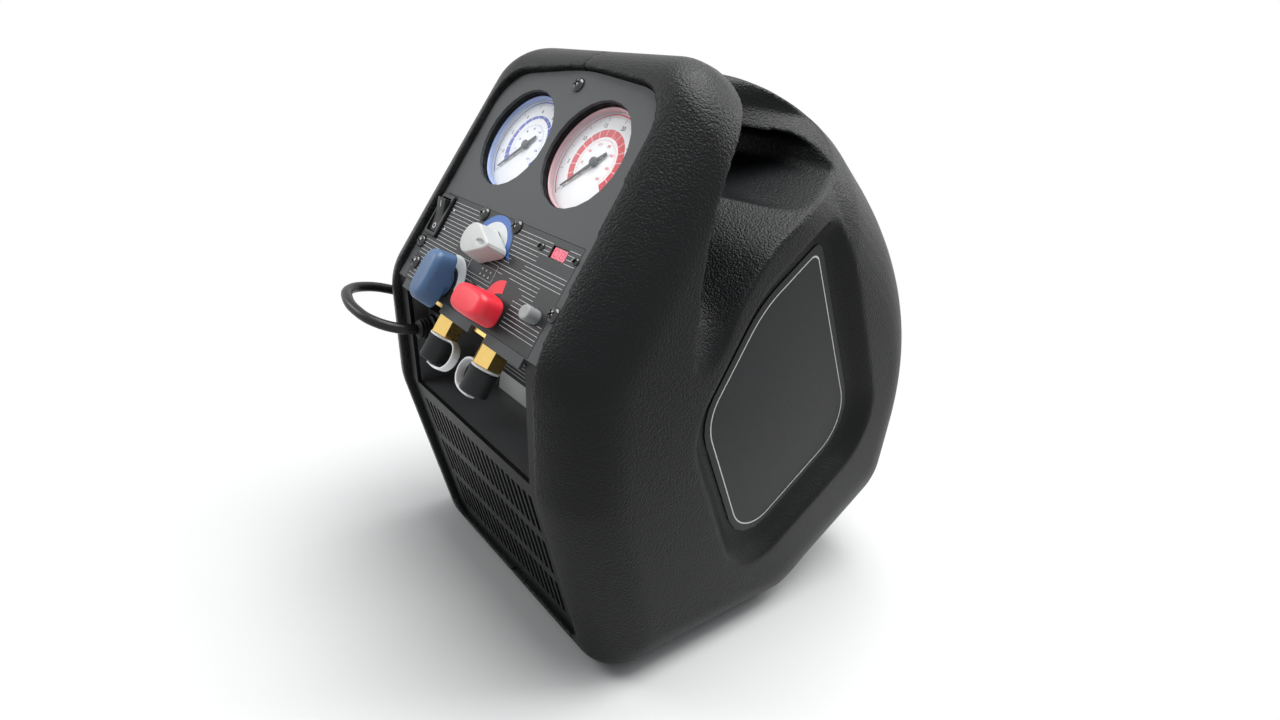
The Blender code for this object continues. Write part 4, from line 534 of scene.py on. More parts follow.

# %% [markdown]
# The gauges' clear crowns could be true glass, but thin glass over a dial mostly darkens it and takes long to
# render. So the crown is nearly see-through where it faces the eye, and towards its edge it turns an opaque
# white. That white is a painted reflection: it stands in for the light that clear glass reflects at a glancing
# view. Layer Weight's Facing gives that edge, and a power of three keeps it narrow.

# %% Clear crowns of the gauges
EDGE_POWER, EDGE_PAINTED_REFLECTION, FACE_PAINTED_REFLECTION = 3.0, 0.5, 0.02
FINISH["glass"], tree, shader = new_material("gauge_glass")
facing = node(tree, "LayerWeight", {"Blend": 0.5}).outputs["Facing"]
# Painted reflection: the crown's white opacity rises towards its rim, where clear glass would reflect the
# room.
painted_reflection = maths(tree, "MULTIPLY_ADD", maths(tree, "POWER", facing, EDGE_POWER), EDGE_PAINTED_REFLECTION, FACE_PAINTED_REFLECTION, clamp=True)
for socket, value in (("Roughness", 0.04), ("Base Color", (0.86, 0.9, 0.95, 1)), ("Alpha", painted_reflection)):
    feed(tree, shader.inputs[socket], value)
print("finishes with the clear crowns:", len(FINISH))

# %% [markdown]
# ## The case
# The case is one rounded form from the side: a polygon whose corners are arcs, and an edge that
# rolls over to flat flanks. It could be sculpted, but a loft keeps its measured outline. So the
# first helpers make outlines: they move a polygon's edges inward, and turn its corners into arcs of
# a fixed number of points.


# %% Helpers for outlines
def meet(p, along_p, q, along_q):
    """Point where two lines cross."""
    cross = along_p.x * along_q.y - along_p.y * along_q.x
    gap = q - p
    return p + along_p * ((gap.x * along_q.y - gap.y * along_q.x) / cross)


def inset_corners(corners, distances):
    """Corners of a polygon whose edges move inward, each by one distance or a (start, end) pair."""
    count = len(corners)
    area = sum(corners[i].cross(corners[(i + 1) % count]) for i in range(count))
    lines = []
    for i in range(count):
        start, end = corners[i], corners[(i + 1) % count]
        along = (end - start).normalized()
        inward = Vector((-along.y, along.x)) * math.copysign(1, area)
        first, last = distances[i] if isinstance(distances[i], tuple) else (distances[i], distances[i])
        moved = start + inward * first
        lines.append((moved, (end + inward * last - moved).normalized()))
    return [meet(*lines[i - 1], *lines[i]) for i in range(count)]


def round_corners(corners, radii, steps, splits=None):
    """Outline with each corner as an arc, and each straight run in equal lengths."""
    count = len(corners)
    counts = steps if isinstance(steps, list) else [steps] * count
    arcs = []
    for i in range(count):
        here = corners[i]
        back, forth = (corners[i - 1] - here).normalized(), (corners[(i + 1) % count] - here).normalized()
        half = back.angle(forth) / 2
        centre = here + (back + forth).normalized() * (radii[i] / math.sin(half))
        start = here + back * (radii[i] / math.tan(half)) - centre
        bend = -math.copysign(math.pi - 2 * half, back.cross(forth))
        arcs.append([centre + Matrix.Rotation(bend * k / counts[i], 2) @ start for k in range(counts[i] + 1)])
    outline = []
    for i in range(count):
        outline += arcs[i]
        pieces = splits[i] if splits else 1
        last, first = arcs[i][-1], arcs[(i + 1) % count][0]
        outline += [last.lerp(first, k / pieces) for k in range(1, pieces)]
    return outline


# %% [markdown]
# The front's three plates lean at their own angles, and the case's rim stands a little proud of
# them. So the first four corners come from where the plates' lines cross, and the other four are
# measured points.

# %% Side outline of the case
CASE_HEIGHT, CASE_HALF_WIDTH, CASE_TAPER, CASE_WALL = 364 * MM, 122.5 * MM, 14.8 * MM, 3 * MM
CASE_FLOOR, RIM_DEPTH = 4 * MM, 4.5 * MM
CASE_BACK = [(186, 368.5), (354, 271), (364, 62), (275, 4)]
CASE_RADII = [value * MM for value in (16, 60, 45, 30, 106, 262, 43, 100)]
CASE_EDGES = metres([(36, 36), (37, 37), (38, 38), (50, 98), (79, 79), (55, 55), (66, 66), (34, 34)])


def front_corners(depth):
    """Corners (y, z) of the front, a depth in front of the plates."""
    ups = [Vector((-math.sin(CHIN_LEAN), math.cos(CHIN_LEAN))),
           Vector((-math.sin(STRIP_LEAN), math.cos(STRIP_LEAN))),
           Vector((math.sin(PANEL_LEAN), math.cos(PANEL_LEAN)))]
    shelf, foot = Vector((SHELF_Y, SHELF_Z)), Vector((0, PANEL_FOOT_Z))
    lines = [(point + Vector((-up.y, up.x)) * depth, up) for point, up in zip((shelf, shelf, foot), ups)]
    level = Vector((1, 0))
    return [meet(*lines[0], Vector((0, CASE_FLOOR)), level), meet(*lines[0], *lines[1]),
            meet(*lines[1], *lines[2]), meet(*lines[2], Vector((0, CASE_HEIGHT)), level)]


def case_corners():
    return front_corners(RIM_DEPTH) + [Vector(pair) * MM for pair in CASE_BACK]


def half_width(z):
    """Half the case's width at a height: it narrows towards the top."""
    return CASE_HALF_WIDTH - CASE_TAPER * (z / CASE_HEIGHT) ** 2


print("case corners (y, z):", [tuple(round(value, 3) for value in corner) for corner in case_corners()])

# %% [markdown]
# One half of the case is a loft from the seam outward: the full outline, then loops that shrink on
# a quarter circle towards a smaller core outline, which rolls the edge over, and last loops that
# close the flat flank.


# %% Solid half of the case
def fitting_radii(corners, radii):
    """Corner radii, made smaller where two arcs would meet on a short edge."""
    fitting = []
    for i, radius in enumerate(radii):
        back, forth = corners[i - 1] - corners[i], corners[(i + 1) % len(corners)] - corners[i]
        fitting.append(min(radius, 0.48 * min(back.length, forth.length) * math.tan(back.angle(forth) / 2)))
    return fitting


def edge_sizes(walls, steps, splits):
    """Radius of the rolled edge at each point of the outline."""
    edges = []
    for i in range(8):
        before = CASE_EDGES[i - 1][1] - walls[i - 1]
        here, last = (edge - walls[i] for edge in CASE_EDGES[i])
        edges += [before + (here - before) * k / steps[i] for k in range(steps[i] + 1)]
        edges += [here + (last - here) * k / splits[i] for k in range(1, splits[i])]
    return edges


def case_form(seam_x, wall=0.0, front_wall=0.0, fineness=3, edge_steps=14):
    """Solid half from seam_x outward, or with walls the hollow inside it."""
    walls = [front_wall] * 3 + [wall] * 5
    corners = case_corners()
    steps = [number * fineness for number in (4, 4, 4, 4, 4, 8, 4, 4)]
    splits = [max(1, round((corners[(i + 1) % 8] - corners[i]).length / (24 * MM))) for i in range(8)]
    radii = [max(radius - max(walls[i], walls[i - 1]), 4 * MM) for i, radius in enumerate(CASE_RADII)]
    outer = round_corners(inset_corners(corners, walls), radii, steps, splits)
    radii = [max(radius - max(CASE_EDGES[i][0], CASE_EDGES[i - 1][1]), 12 * MM)
             for i, radius in enumerate(CASE_RADII)]
    corners = inset_corners(corners, CASE_EDGES)
    core = round_corners(corners, fitting_radii(corners, radii), steps, splits)
    edges = edge_sizes(walls, steps, splits)
    loops = [[(seam_x, *point) for point in outer]]
    for step in range(edge_steps + 1):
        angle = math.pi / 2 * step / edge_steps
        loop = []
        for point, inner, radius in zip(outer, core, edges):
            y, z = point.lerp(inner, 1 - math.cos(angle))
            loop.append((half_width(z) - wall - radius * (1 - math.sin(angle)), y, z))
        loops.append(loop)
    hub = sum(core, Vector((0, 0))) / len(core)
    for share in (0.25, 0.5, 0.75, 0.9):
        flank = [point.lerp(hub, share) for point in core]
        loops.append([(half_width(z) - wall, y, z) for y, z in flank])
    mesh = loft(loops)
    bmesh.ops.triangulate(mesh, faces=mesh.faces)
    return mesh


# %% [markdown]
# The scoop behind the hood leaves the handle standing. Its edges are two creases on the case, given
# as measured points with a smooth curve through them. The tool that cuts it is a stack of level
# loops: each runs along the scoop's floor, which rises from the handle's side to the shell's
# crease, and back outside the case.

# %% Creases of the scoop
SCOOP_TIP_Z, SCOOP_FULL_Z, SCOOP_LIFT = 188 * MM, 298 * MM, 1 * MM
HANDLE_HALF_WIDTH, HANDLE_THICKNESS, HANDLE_EDGE = 21 * MM, 29 * MM, 13 * MM
HANDLE_START_Y, HANDLE_END_Y, HANDLE_RISE = 70 * MM, 186 * MM, 4.5 * MM
HOOD_CREASE = [(188, 84), (203, 78.5), (236, 73.5), (268, 71.5), (290, 72.8), (306, 75.5), (322, 81),
               (336, 89), (346, 97), (376, 102)]
SHELL_CREASE = [(188, 87), (220, 97), (248, 105), (262, 112.5), (276, 122.5), (289, 137), (301, 154),
                (311, 171), (320, 185), (331, 194), (342, 199), (354, 200), (376, 192)]


def smooth(t):
    """Share from 0 to 1 that starts and ends gently."""
    t = min(max(t, 0.0), 1.0)
    return t * t * (3 - 2 * t)


def crease_at(crease, z):
    """Edge of the scoop: depth at a height, on a smooth curve through its points."""
    k = 0
    while k < len(crease) - 2 and z / MM > crease[k + 1][0]:
        k += 1
    spans = [(b[1] - a[1]) / (b[0] - a[0]) for a, b in zip(crease, crease[1:])]
    first = (spans[max(k - 1, 0)] + spans[k]) / 2 if k else spans[0]
    last = (spans[k] + spans[min(k + 1, len(spans) - 1)]) / 2 if k + 2 < len(crease) else spans[-1]
    step = crease[k + 1][0] - crease[k][0]
    t = (z / MM - crease[k][0]) / step
    rise = t * t * (3 - 2 * t)
    depth = crease[k][1] * (1 - rise) + crease[k + 1][1] * rise
    return (depth + step * (first * t * (1 - t) ** 2 - last * t * t * (1 - t))) * MM


def handle_top(y):
    """Height of the handle's top, which rises a little towards the back."""
    share = (y - HANDLE_START_Y) / (HANDLE_END_Y - HANDLE_START_Y)
    return CASE_HEIGHT + HANDLE_RISE * min(max(share, 0), 1)


print("scoop", round((SCOOP_FULL_Z - SCOOP_TIP_Z) / MM), "mm from its tip to its full depth")


# %% Cutting tool: the scoop
def scoop_inner(y, z):
    """Half width that the scoop leaves of the handle, less where the handle's top edge rolls over."""
    below_top = handle_top(y) - z
    if below_top >= HANDLE_EDGE:
        return HANDLE_HALF_WIDTH
    past = min(1 - below_top / HANDLE_EDGE, 1)
    return HANDLE_HALF_WIDTH - HANDLE_EDGE * (1 - math.sqrt(1 - past ** 2))


def scoop_tool(tree, wall=0.0, rows=56, columns=22):
    """Solid that cuts the scoop, or with a wall the room to leave round it."""
    outer, top = CASE_HALF_WIDTH + 20 * MM, CASE_HEIGHT + 10 * MM
    flat_share, below_crest = 0.35, 8 * MM
    loops = []
    for row in range(rows + 1):
        z = SCOOP_TIP_Z + (top - SCOOP_TIP_Z) * row / rows
        start, end = crease_at(HOOD_CREASE, z) - wall, crease_at(SHELL_CREASE, z) + wall
        crest = tree.ray_cast(Vector((1 * MM, end - wall, 0.5)), Vector((0, 0, -1)))[0]
        seen_from = Vector((CASE_HALF_WIDTH * 2, end - wall, min(z, crest.z - below_crest)))
        hit = tree.ray_cast(seen_from, Vector((-1, 0, 0)))[0]
        outside = (hit.x if hit else half_width(z)) + SCOOP_LIFT
        depth = smooth((z - SCOOP_TIP_Z) / (SCOOP_FULL_Z - SCOOP_TIP_Z)) ** 2
        floor_line = []
        for column in range(columns + 1):
            share = column / columns
            y = start + (end - start) * share
            ramp = 1 - math.cos(math.pi / 2 * max(0.0, (share - flat_share) / (1 - flat_share)))
            floor_line.append((outside - depth * (outside - scoop_inner(y, z)) * (1 - ramp) - wall, y, z))
        loops.append(floor_line + [(outer, y, z) for _, y, _ in reversed(floor_line)])
    mesh = loft(loops)
    bmesh.ops.triangulate(mesh, faces=mesh.faces)
    return mesh


# %% [markdown]
# Two more tools are simpler. The hand hole is a flat outline pushed right through under the handle.
# The side pocket, which takes the label, is a stack of rounded outlines that sink along a soft
# slope to a flat floor.

# %% Cutting tools: hand hole and side pocket
HOLE_FRONT, HOLE_BACK, POCKET_DEPTH, POCKET_SLOPE = 97, 190, 10 * MM, 17 * MM
POCKET_CORNERS = [Vector(pair) * MM for pair in ((184, 312), (303, 142), (160, 40), (78, 172), (118, 256))]
POCKET_RADII, ARC_STEPS = [value * MM for value in (16, 48, 42, 45, 90)], 14


def hole_tool(wall=0.0):
    corners = [Vector(pair) * MM for pair in ((HOLE_FRONT, 297), (145, 297), (HOLE_BACK, 322))]
    corners += [Vector((y * MM, handle_top(y * MM) - HANDLE_THICKNESS)) for y in (HOLE_BACK, HOLE_FRONT)]
    corners = inset_corners(corners, [-wall] * 5)
    outline = round_corners(corners, [value * MM for value in (12, 25, 7, 7, 12)], 10)
    return sideways(slab(outline, -CASE_HALF_WIDTH, CASE_HALF_WIDTH))


def pocket_outline(inset):
    corners = inset_corners(POCKET_CORNERS, [inset] * 5)
    return round_corners(corners, [max(radius - inset * 0.6, 6 * MM) for radius in POCKET_RADII], ARC_STEPS)


def pocket_floor(z):
    """Half width at the pocket's flat floor."""
    low, high = POCKET_CORNERS[2].y, POCKET_CORNERS[0].y
    share = (z - low) / (high - low)
    return half_width(low) + (half_width(high) - half_width(low)) * share - POCKET_DEPTH


def pocket_tool(wall=0.0, rows=12):
    loops = [[(CASE_HALF_WIDTH + 20 * MM, y, z) for y, z in pocket_outline(-wall)]]
    for row in range(rows + 1):
        share = row / rows
        loop = []
        for y, z in pocket_outline(POCKET_SLOPE * share - wall):
            rim = half_width(z) + SCOOP_LIFT
            loop.append((rim + (pocket_floor(z) - rim) * smooth(share) - wall, y, z))
        loops.append(loop)
    mesh = loft(loops)
    bmesh.ops.triangulate(mesh, faces=mesh.faces)
    return mesh


# %% [markdown]
# In front, the case has a seat that takes the panel's edge, an opening inside it, a notch for the
# switch, and a seat and a hole for the grille that follow the front's bends. At the back is the air
# inlet.

# %% Cutting tools: openings
PANEL_THICKNESS, LEDGE_THICKNESS, LEDGE_WIDTH, GAP = 2 * MM, 2.5 * MM, 9 * MM, 0.3 * MM
PLATE_BACK = -(PANEL_THICKNESS + GAP)
LEDGE_BACK = PLATE_BACK - LEDGE_THICKNESS
OPENING_FOOT_HALF, GRILLE_FOOT, PROUD, INLET_Z = 84.3 * MM, 10 * MM, 30 * MM, 112


def panel_outline(inset, foot_s=0.0):
    foot, shoulder, shoulder_s, top_s = OPENING_FOOT_HALF, 76.8 * MM, 147.5 * MM, 156.2 * MM
    corners = [Vector(pair) for pair in ((-foot, 0), (foot, 0), (shoulder, shoulder_s), (0, top_s),
                                         (-shoulder, shoulder_s))]
    corners = inset_corners(corners, [-foot_s] + [inset] * 4)
    radii = [0.5 * MM, 0.5 * MM, 26 * MM - inset, 160 * MM, 26 * MM - inset]
    return round_corners(corners, radii, ARC_STEPS)


def lower_tool(inset, back, front):
    """Solid that follows the front's bends, behind and before the chin and the strips."""
    half = OPENING_FOOT_HALF - inset
    chin = (front_corners(0)[1] - front_corners(0)[0]).length
    foot_share = (GRILLE_FOOT - GAP + inset) / chin
    spots = [(0, 1, foot_share, half - 10 * MM), (0, 1, foot_share + 12 * MM / chin, half), (1, 1, 0, half),
             (2, 2, 0, half), (2, 3, 0.05, half)]
    loops = []
    for low, high, share, reach in spots:
        near, far = (front_corners(depth)[low].lerp(front_corners(depth)[high], share)
                     for depth in (back, front))
        loops.append([(-reach, *near), (reach, *near), (reach, *far), (-reach, *far)])
    return loft(loops)


def inlet_tool():
    """Box that cuts the air inlet square to the leaning back."""
    (top_y, top_z), (foot_y, foot_z) = CASE_BACK[1:3]
    rear = Vector((top_y - foot_y, top_z - foot_z)) * MM
    lean = Matrix.Rotation(math.atan2(-rear.x, rear.y), 4, "X")
    at = Matrix.Translation((0, foot_y * MM + rear.x * (INLET_Z - foot_z) * MM / rear.y, INLET_Z * MM))
    return put(brick_mm(-52, 52, -20, 20, -30, 30), at @ lean)


def panel_tools():
    """Seat, opening and notch, moved from the panel's own frame."""
    plate = PANEL.copy()
    plate[1][3] -= BACK_SHIFT
    seat = slab(panel_outline(-0.2 * MM), PLATE_BACK, PROUD)
    opening = slab(panel_outline(LEDGE_WIDTH, -1 * MM), LEDGE_BACK - 3 * MM, PROUD)
    notch = brick(60 * MM, 77.6 * MM, 30.7 * MM, 61.7 * MM, LEDGE_BACK - 5 * MM, 0)
    return [put(tool, plate) for tool in (seat, opening, notch)]


print("panel ledge", round(-LEDGE_BACK / MM, 1), "mm behind the panel's face")

# %% [markdown]
# The half is cut with exact Booleans, then given an even skin by a voxel remesh. A few rounds of
# smoothing take the sharpness off every edge at once, as a moulding's edges are, where a bevel
# would fail on so many curved cuts. A decimation brings the count down where the surface is flat.
# The halves overlap by a hair at the seam, so that the smoothed edges close, and the left half is
# the right one mirrored.

# %% The two halves
SEAM_LAP, VOXEL, MOST_TRIANGLES, CAVITY_REACH = 0.3 * MM, 1.5 * MM, 92000, 10 * MM
MACHINE = Matrix.Translation((0, BACK_SHIFT, 0))


def case_half():
    whole = case_form(0)
    tree = BVHTree.FromBMesh(whole)
    whole.free()
    cavity = carved(case_form(-CAVITY_REACH, CASE_WALL, RIM_DEPTH - LEDGE_BACK, 1, 4),
                    [scoop_tool(tree, CASE_WALL, 24, 12), pocket_tool(CASE_WALL, 4), hole_tool(CASE_WALL)])
    seat, opening, notch = panel_tools()
    mesh = carved(case_form(-SEAM_LAP), [
        cavity, scoop_tool(tree), pocket_tool(), hole_tool(), seat, opening, notch, inlet_tool(),
        lower_tool(0, PLATE_BACK - 0.7 * MM, PROUD), lower_tool(LEDGE_WIDTH, LEDGE_BACK - 4 * MM, PROUD)])
    mesh = modified(mesh, ("REMESH", {"mode": "VOXEL", "voxel_size": VOXEL}),
                    ("SMOOTH", {"factor": 0.5, "iterations": 5}))
    count = len(mesh.faces) * 2
    mesh = modified(mesh, ("DECIMATE", {"ratio": min(1, MOST_TRIANGLES / count)}))
    print("case half:", count, "triangles thinned to", len(mesh.faces))
    return put(mesh, MACHINE)


right_half = case_half()
left_half = right_half.copy()
bmesh.ops.scale(left_half, verts=left_half.verts, vec=(-1, 1, 1))
bmesh.ops.recalc_face_normals(left_half, faces=left_half.faces)
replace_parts(piece("case_right_moulding", right_half, ["case"], "machine", 60), "case_right")
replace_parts(piece("case_left_moulding", left_half, ["case"], "machine", 60), "case_left")

# %% [markdown]
# ## Mains cord
# The cord leaves the gland, bends down the left side and runs back along the floor. It could be
# simulated, but its solids already lie where it must lie, so its route is drawn point by point. Its
# unseen length is wound into a coil behind the machine: one layer spirals in, the next lies on it
# and spirals out, most of a turn lies on top, and a tie holds them. A search on the coil's inner
# radius makes the whole cord 1.8 m long.

# %% Points of the cord
CORD_RADIUS, CORD_LENGTH = 3.5 * MM, 1800
CORD_ROUTE = [(-63.5, 4.9, 179), (-65.6, -7.8, 180), (-71.7, -16.9, 182), (-80.8, -23, 184),
              (-91.5, -25.1, 186), (-103, -25.1, 188), (-113.7, -23, 189), (-122.8, -16.9, 189.5),
              (-128.9, -7.8, 189), (-131.8, 4, 187.5), (-133.5, 22, 183), (-134, 44, 172), (-133.5, 75, 148),
              (-133, 105, 105), (-134, 130, 58), (-135, 151, 24), (-136, 172, 8), (-136.5, 198, 4.2),
              (-136.7, 221.5, 4.2)]
COIL_CENTRE, COIL_JOIN, COIL_EXIT, COIL_PITCH, LAY_HEIGHT = Vector((-185.9, 232)), -12, 2035, 7.3, 4.2
JOIN_TURN, JOIN_RADIUS, START_RADIUS, TOP_TURN = 120, 50.3, 44, 324


def smooth_line(points, share):
    """Smooth curve through points, with several steps for each stretch."""
    line = []
    for i in range(len(points) - 1):
        a, b = points[i], points[i + 1]
        before, after = points[max(i - 1, 0)], points[min(i + 2, len(points) - 1)]
        for k in range(share):
            t = k / share
            line.append(0.5 * (2 * a + (b - before) * t + (2 * before - 5 * a + 4 * b - after) * t * t
                               + (3 * a - before - 3 * b + after) * t ** 3))
    return line + [points[-1]]


def evenly(line, spacing):
    """Points picked from a fine line at an even spacing."""
    even, walked = [line[0]], spacing / 2
    for here, beyond in zip(line, line[1:]):
        walked += (beyond - here).length
        if walked >= spacing:
            even.append(beyond)
            walked = 0.0
    return even


def run_length(points):
    return sum((b - a).length for a, b in zip(points, points[1:]))


loose = evenly(smooth_line([Vector(point) for point in CORD_ROUTE], 24), 17)
print("loose run:", len(loose), "points,", round(run_length(loose)), "mm")


# %% Coil and length
def coil(inner):
    """Points of the coil and of the short run to the plug, with the plug's heading."""
    climb = COIL_JOIN + JOIN_TURN + (START_RADIUS - inner) / COIL_PITCH * 360
    top = COIL_EXIT - TOP_TURN
    outer = inner + COIL_PITCH * (top - climb) / 360
    points = []
    count = round((COIL_EXIT - COIL_JOIN) / 15)
    for k in range(1, count + 1):
        angle = COIL_JOIN + (COIL_EXIT - COIL_JOIN) * k / count
        if angle < COIL_JOIN + JOIN_TURN:
            radius = JOIN_RADIUS - 6.3 * smooth((angle - COIL_JOIN) / JOIN_TURN)
        else:
            radius = min(inner + COIL_PITCH * abs(angle - climb) / 360,
                         outer - COIL_PITCH * (angle - top) / 360)
        layers = smooth((angle - climb + 34) / 68) + smooth((angle - top + 30) / 60)
        spot = COIL_CENTRE + radius * Vector((math.cos(math.radians(angle)), math.sin(math.radians(angle))))
        points.append(Vector((*spot, LAY_HEIGHT + COIL_PITCH * layers)))
    heading = Vector((points[-1].x - points[-2].x, points[-1].y - points[-2].y)).normalized()
    spot = points[-1].xy
    for k in range(4):
        heading = (Matrix.Rotation(math.radians(-7.5), 2) @ heading).normalized()
        spot = spot + heading * 4.3
        points.append(Vector((*spot, points[-1].z - 0.12 * k)))
    points.append(Vector((*(spot + heading * 8), points[-1].z - 0.9)))
    return points, heading


narrow, wide = 27.0, 38.0
for _ in range(30):
    inner = (narrow + wide) / 2
    coiled, plug_heading = coil(inner)
    if run_length(loose + coiled) > CORD_LENGTH:
        wide = inner
    else:
        narrow = inner
cord_line = [(point + Vector((0, BACK_SHIFT / MM, 0))) * MM for point in loose + coiled]
print("cord:", len(cord_line), "points, coil inner radius", round(inner, 2), "length", run_length(cord_line))

# %% [markdown]
# The cord itself is a curve with a round bevel, not a mesh: that keeps it round at every bend.

# %% Cord
curve = bpy.data.curves.new("mains_cord", "CURVE")
curve.dimensions = "3D"
curve.bevel_depth = CORD_RADIUS
curve.bevel_resolution = 5
curve.resolution_u = 5
curve.use_fill_caps = True
spline = curve.splines.new("BEZIER")
spline.bezier_points.add(len(cord_line) - 1)
for target, point in zip(spline.bezier_points, cord_line):
    target.co = point
    target.handle_left_type = target.handle_right_type = "AUTO"
curve.materials.append(FINISH["cord"])
cord = bpy.data.objects.new("mains_cord", curve)
bpy.context.scene.collection.objects.link(cord)
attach(cord, "machine")
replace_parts(cord, "power_cord", "cord_coil")
print("cord", 2 * CORD_RADIUS / MM, "mm thick")

# %% [markdown]
# The plug is a lofted grip with a waist for the fingers and three pins. Each row of its table is a
# loop like a rounded rectangle: how far along, half its width, half its height, and how square it
# is.


# %% Plug
def rounded_loop(wide, tall, level, power, count=40):
    """Loop like a rounded rectangle at one height."""
    loop = []
    for i in range(count):
        angle = math.tau * i / count
        c, s = math.cos(angle), math.sin(angle)
        loop.append((wide * math.copysign(abs(c) ** (2 / power), c),
                     tall * math.copysign(abs(s) ** (2 / power), s), level))
    return loop


PLUG_ROWS = [(0, 4.3, 4.3, 2), (3, 4.6, 4.6, 2), (9, 5.2, 5, 2), (14, 6.2, 5.6, 2.2), (17, 9.5, 7.5, 2.5),
             (20, 15, 10, 2.8), (24, 18.5, 11.2, 3), (33, 19.2, 11.4, 3.2), (40, 21.5, 11.8, 3.4),
             (46, 22.4, 12, 3.6), (49, 21.8, 11.6, 3.6), (50, 20.5, 10.8, 3.6)]
grip = loft([rounded_loop(wide * MM, tall * MM, level * MM, power) for level, wide, tall, power in PLUG_ROWS])
PINS = [(-3.2, 3.2, -2, 2, 49, 67), (-12, -10, -4.2, 2, 49, 66), (10, 12, -4.2, 2, 49, 66)]
pins = [painted(soften(brick_mm(*sides), 0.5 * MM), 1) for sides in PINS]
slope = math.radians(6)  # the grip lies with its wide end on the floor
along = Vector((plug_heading.x * math.cos(slope), plug_heading.y * math.cos(slope), -math.sin(slope)))
across = Vector((0, 0, 1)).cross(along).normalized()
plug_frame = Matrix((across, along.cross(across), along)).transposed().to_4x4()
plug_back = Matrix.Translation(cord_line[-1] - along * 1 * MM)
plug = piece("mains_plug", put(merged([grip] + pins), plug_back @ plug_frame), ["rubber", "brass"], "machine")
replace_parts(plug, "plug")

# %% [markdown]
# The gland is a turned collar with ribs that get smaller towards the cord, which keeps it from
# kinking at the case. As it is round, one profile and a spin make it. The tie is a flat band bent
# round the coil.

# %% Gland and tie
GLAND_ROWS = [(0, 28.7), (5.2, 28.7), (5.2, 16.7), (9, 16.7), (9.2, 16.2), (9.2, 14.2), (8.6, 13.6),
              (6.4, 13.2), (6.4, 12.6), (7.6, 12.2), (7.6, 10.9), (6, 10.6), (6, 10.1), (6.9, 9.8), (6.9, 8.7),
              (5.6, 8.4), (5.6, 7.9), (6.2, 7.6), (6.2, 6.6), (4.8, 5.6), (3.7, 5.1), (0, 5.1)]
backward = Matrix(((1, 0, 0, -63.5 * MM), (0, 0, 1, BACK_SHIFT), (0, -1, 0, 179 * MM), (0, 0, 0, 1)))
gland = piece("cord_relief", put(spun(metres(GLAND_ROWS), 40), backward), ["rubber"], "machine")
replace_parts(gland, "cord_gland")

band_loops = [rounded_loop(13.4 * MM, 11.6 * MM, level * MM, 5, 32) for level in (-4, 4)]
band_loops += [rounded_loop(12.8 * MM, 11 * MM, level * MM, 5, 32) for level in (4, -4)]
tie = bmesh.new()
rings = [ring_of(tie, loop) for loop in band_loops]
for low, high in zip(rings, rings[1:] + rings[:1]):
    bmesh.ops.bridge_loops(tie, edges=low + high)
bmesh.ops.recalc_face_normals(tie, faces=tie.faces)
round_coil = Matrix.Rotation(math.radians(60), 4, "Z")
upright = Matrix(((1, 0, 0, 0), (0, 0, -1, 0), (0, 1, 0, 0), (0, 0, 0, 1)))
tie_at = Vector((COIL_CENTRE.x * MM, COIL_CENTRE.y * MM + BACK_SHIFT, 11.8 * MM))
tie_at += round_coil.to_3x3() @ Vector((36.8 * MM, 0, 0))
tie = piece("cord_tie", put(tie, Matrix.Translation(tie_at) @ (round_coil @ upright)), ["rubber"], "machine")

# %% [markdown]
# ## Gauges
# Each gauge sits behind a round window: a dial with two scales, a needle, and a domed clear crown in a tinted
# rim. The print could be a texture, but as very thin slabs it stays sharp in any view. The numbers are text
# turned into mesh.


# %% Helpers for print
INK = 0.04 * MM


def arc_points(radius, start, end, count):
    angles = [math.radians(start + (end - start) * k / count) for k in range(count + 1)]
    return [(radius * math.cos(angle), radius * math.sin(angle)) for angle in angles]


def band(inner, outer, start, end, count=48):
    """Flat printed arc between two radii in millimetres."""
    far, near = arc_points(outer * MM, start, end, count), arc_points(inner * MM, end, start, count)
    return slab(far + near, 0, INK)


def annulus(inner, outer, count):
    """Flat printed ring between two radii in metres."""
    return spun([(inner, 0), (outer, 0), (outer, INK), (inner, INK), (inner, 0)], count)


def bar(x0, x1, y0, y1, thick=INK):
    """Flat printed bar with its sides in millimetres."""
    return brick(x0 * MM, x1 * MM, y0 * MM, y1 * MM, 0, thick)


def moved(mesh, x, s, h=0.0):
    return put(mesh, Matrix.Translation((x * MM, s * MM, h * MM)))


def words(text, size):
    """Plain characters as a mesh, centred on the origin."""
    data = bpy.data.curves.new("words", "FONT")
    data.body = text
    data.size = size
    data.extrude = INK / 2
    data.offset = size * 0.02
    data.align_x, data.align_y = "CENTER", "CENTER"
    made = bpy.data.objects.new("words", data)
    bpy.context.scene.collection.objects.link(made)
    mesh = evaluated(made)
    bpy.data.objects.remove(made)
    bmesh.ops.remove_doubles(mesh, verts=mesh.verts, dist=0.001 * MM)
    return mesh


# %% [markdown]
# A dial's scale turns through 270 degrees from the lower left. Ticks come every 3 degrees, with a
# longer one at every fifth and tenth. A finer scale inside has small numbers in the other unit, and
# a broad segmented band between them is what the eye reads first. On the low side the band is
# thinner in the middle.

# %% Scale of a dial
SCALE_START, TICK_STEP, FINE_STEP, BAND_STEP, BANDS = 225, 3, 5, 9, 30
NUMBER_RADIUS, FINE_NUMBER_RADIUS, BAND_OUTER, OTHER_UNIT = 23.2, 11.4, 20.4, 14.5
MAIN_INK, FINE_INK, BAND_INK, NUMBER_INK = range(4)


def spoke(mesh, angle):
    """Turn a form that lies along X to point at an angle on the dial."""
    return put(mesh, Matrix.Rotation(math.radians(angle), 4, "Z"))


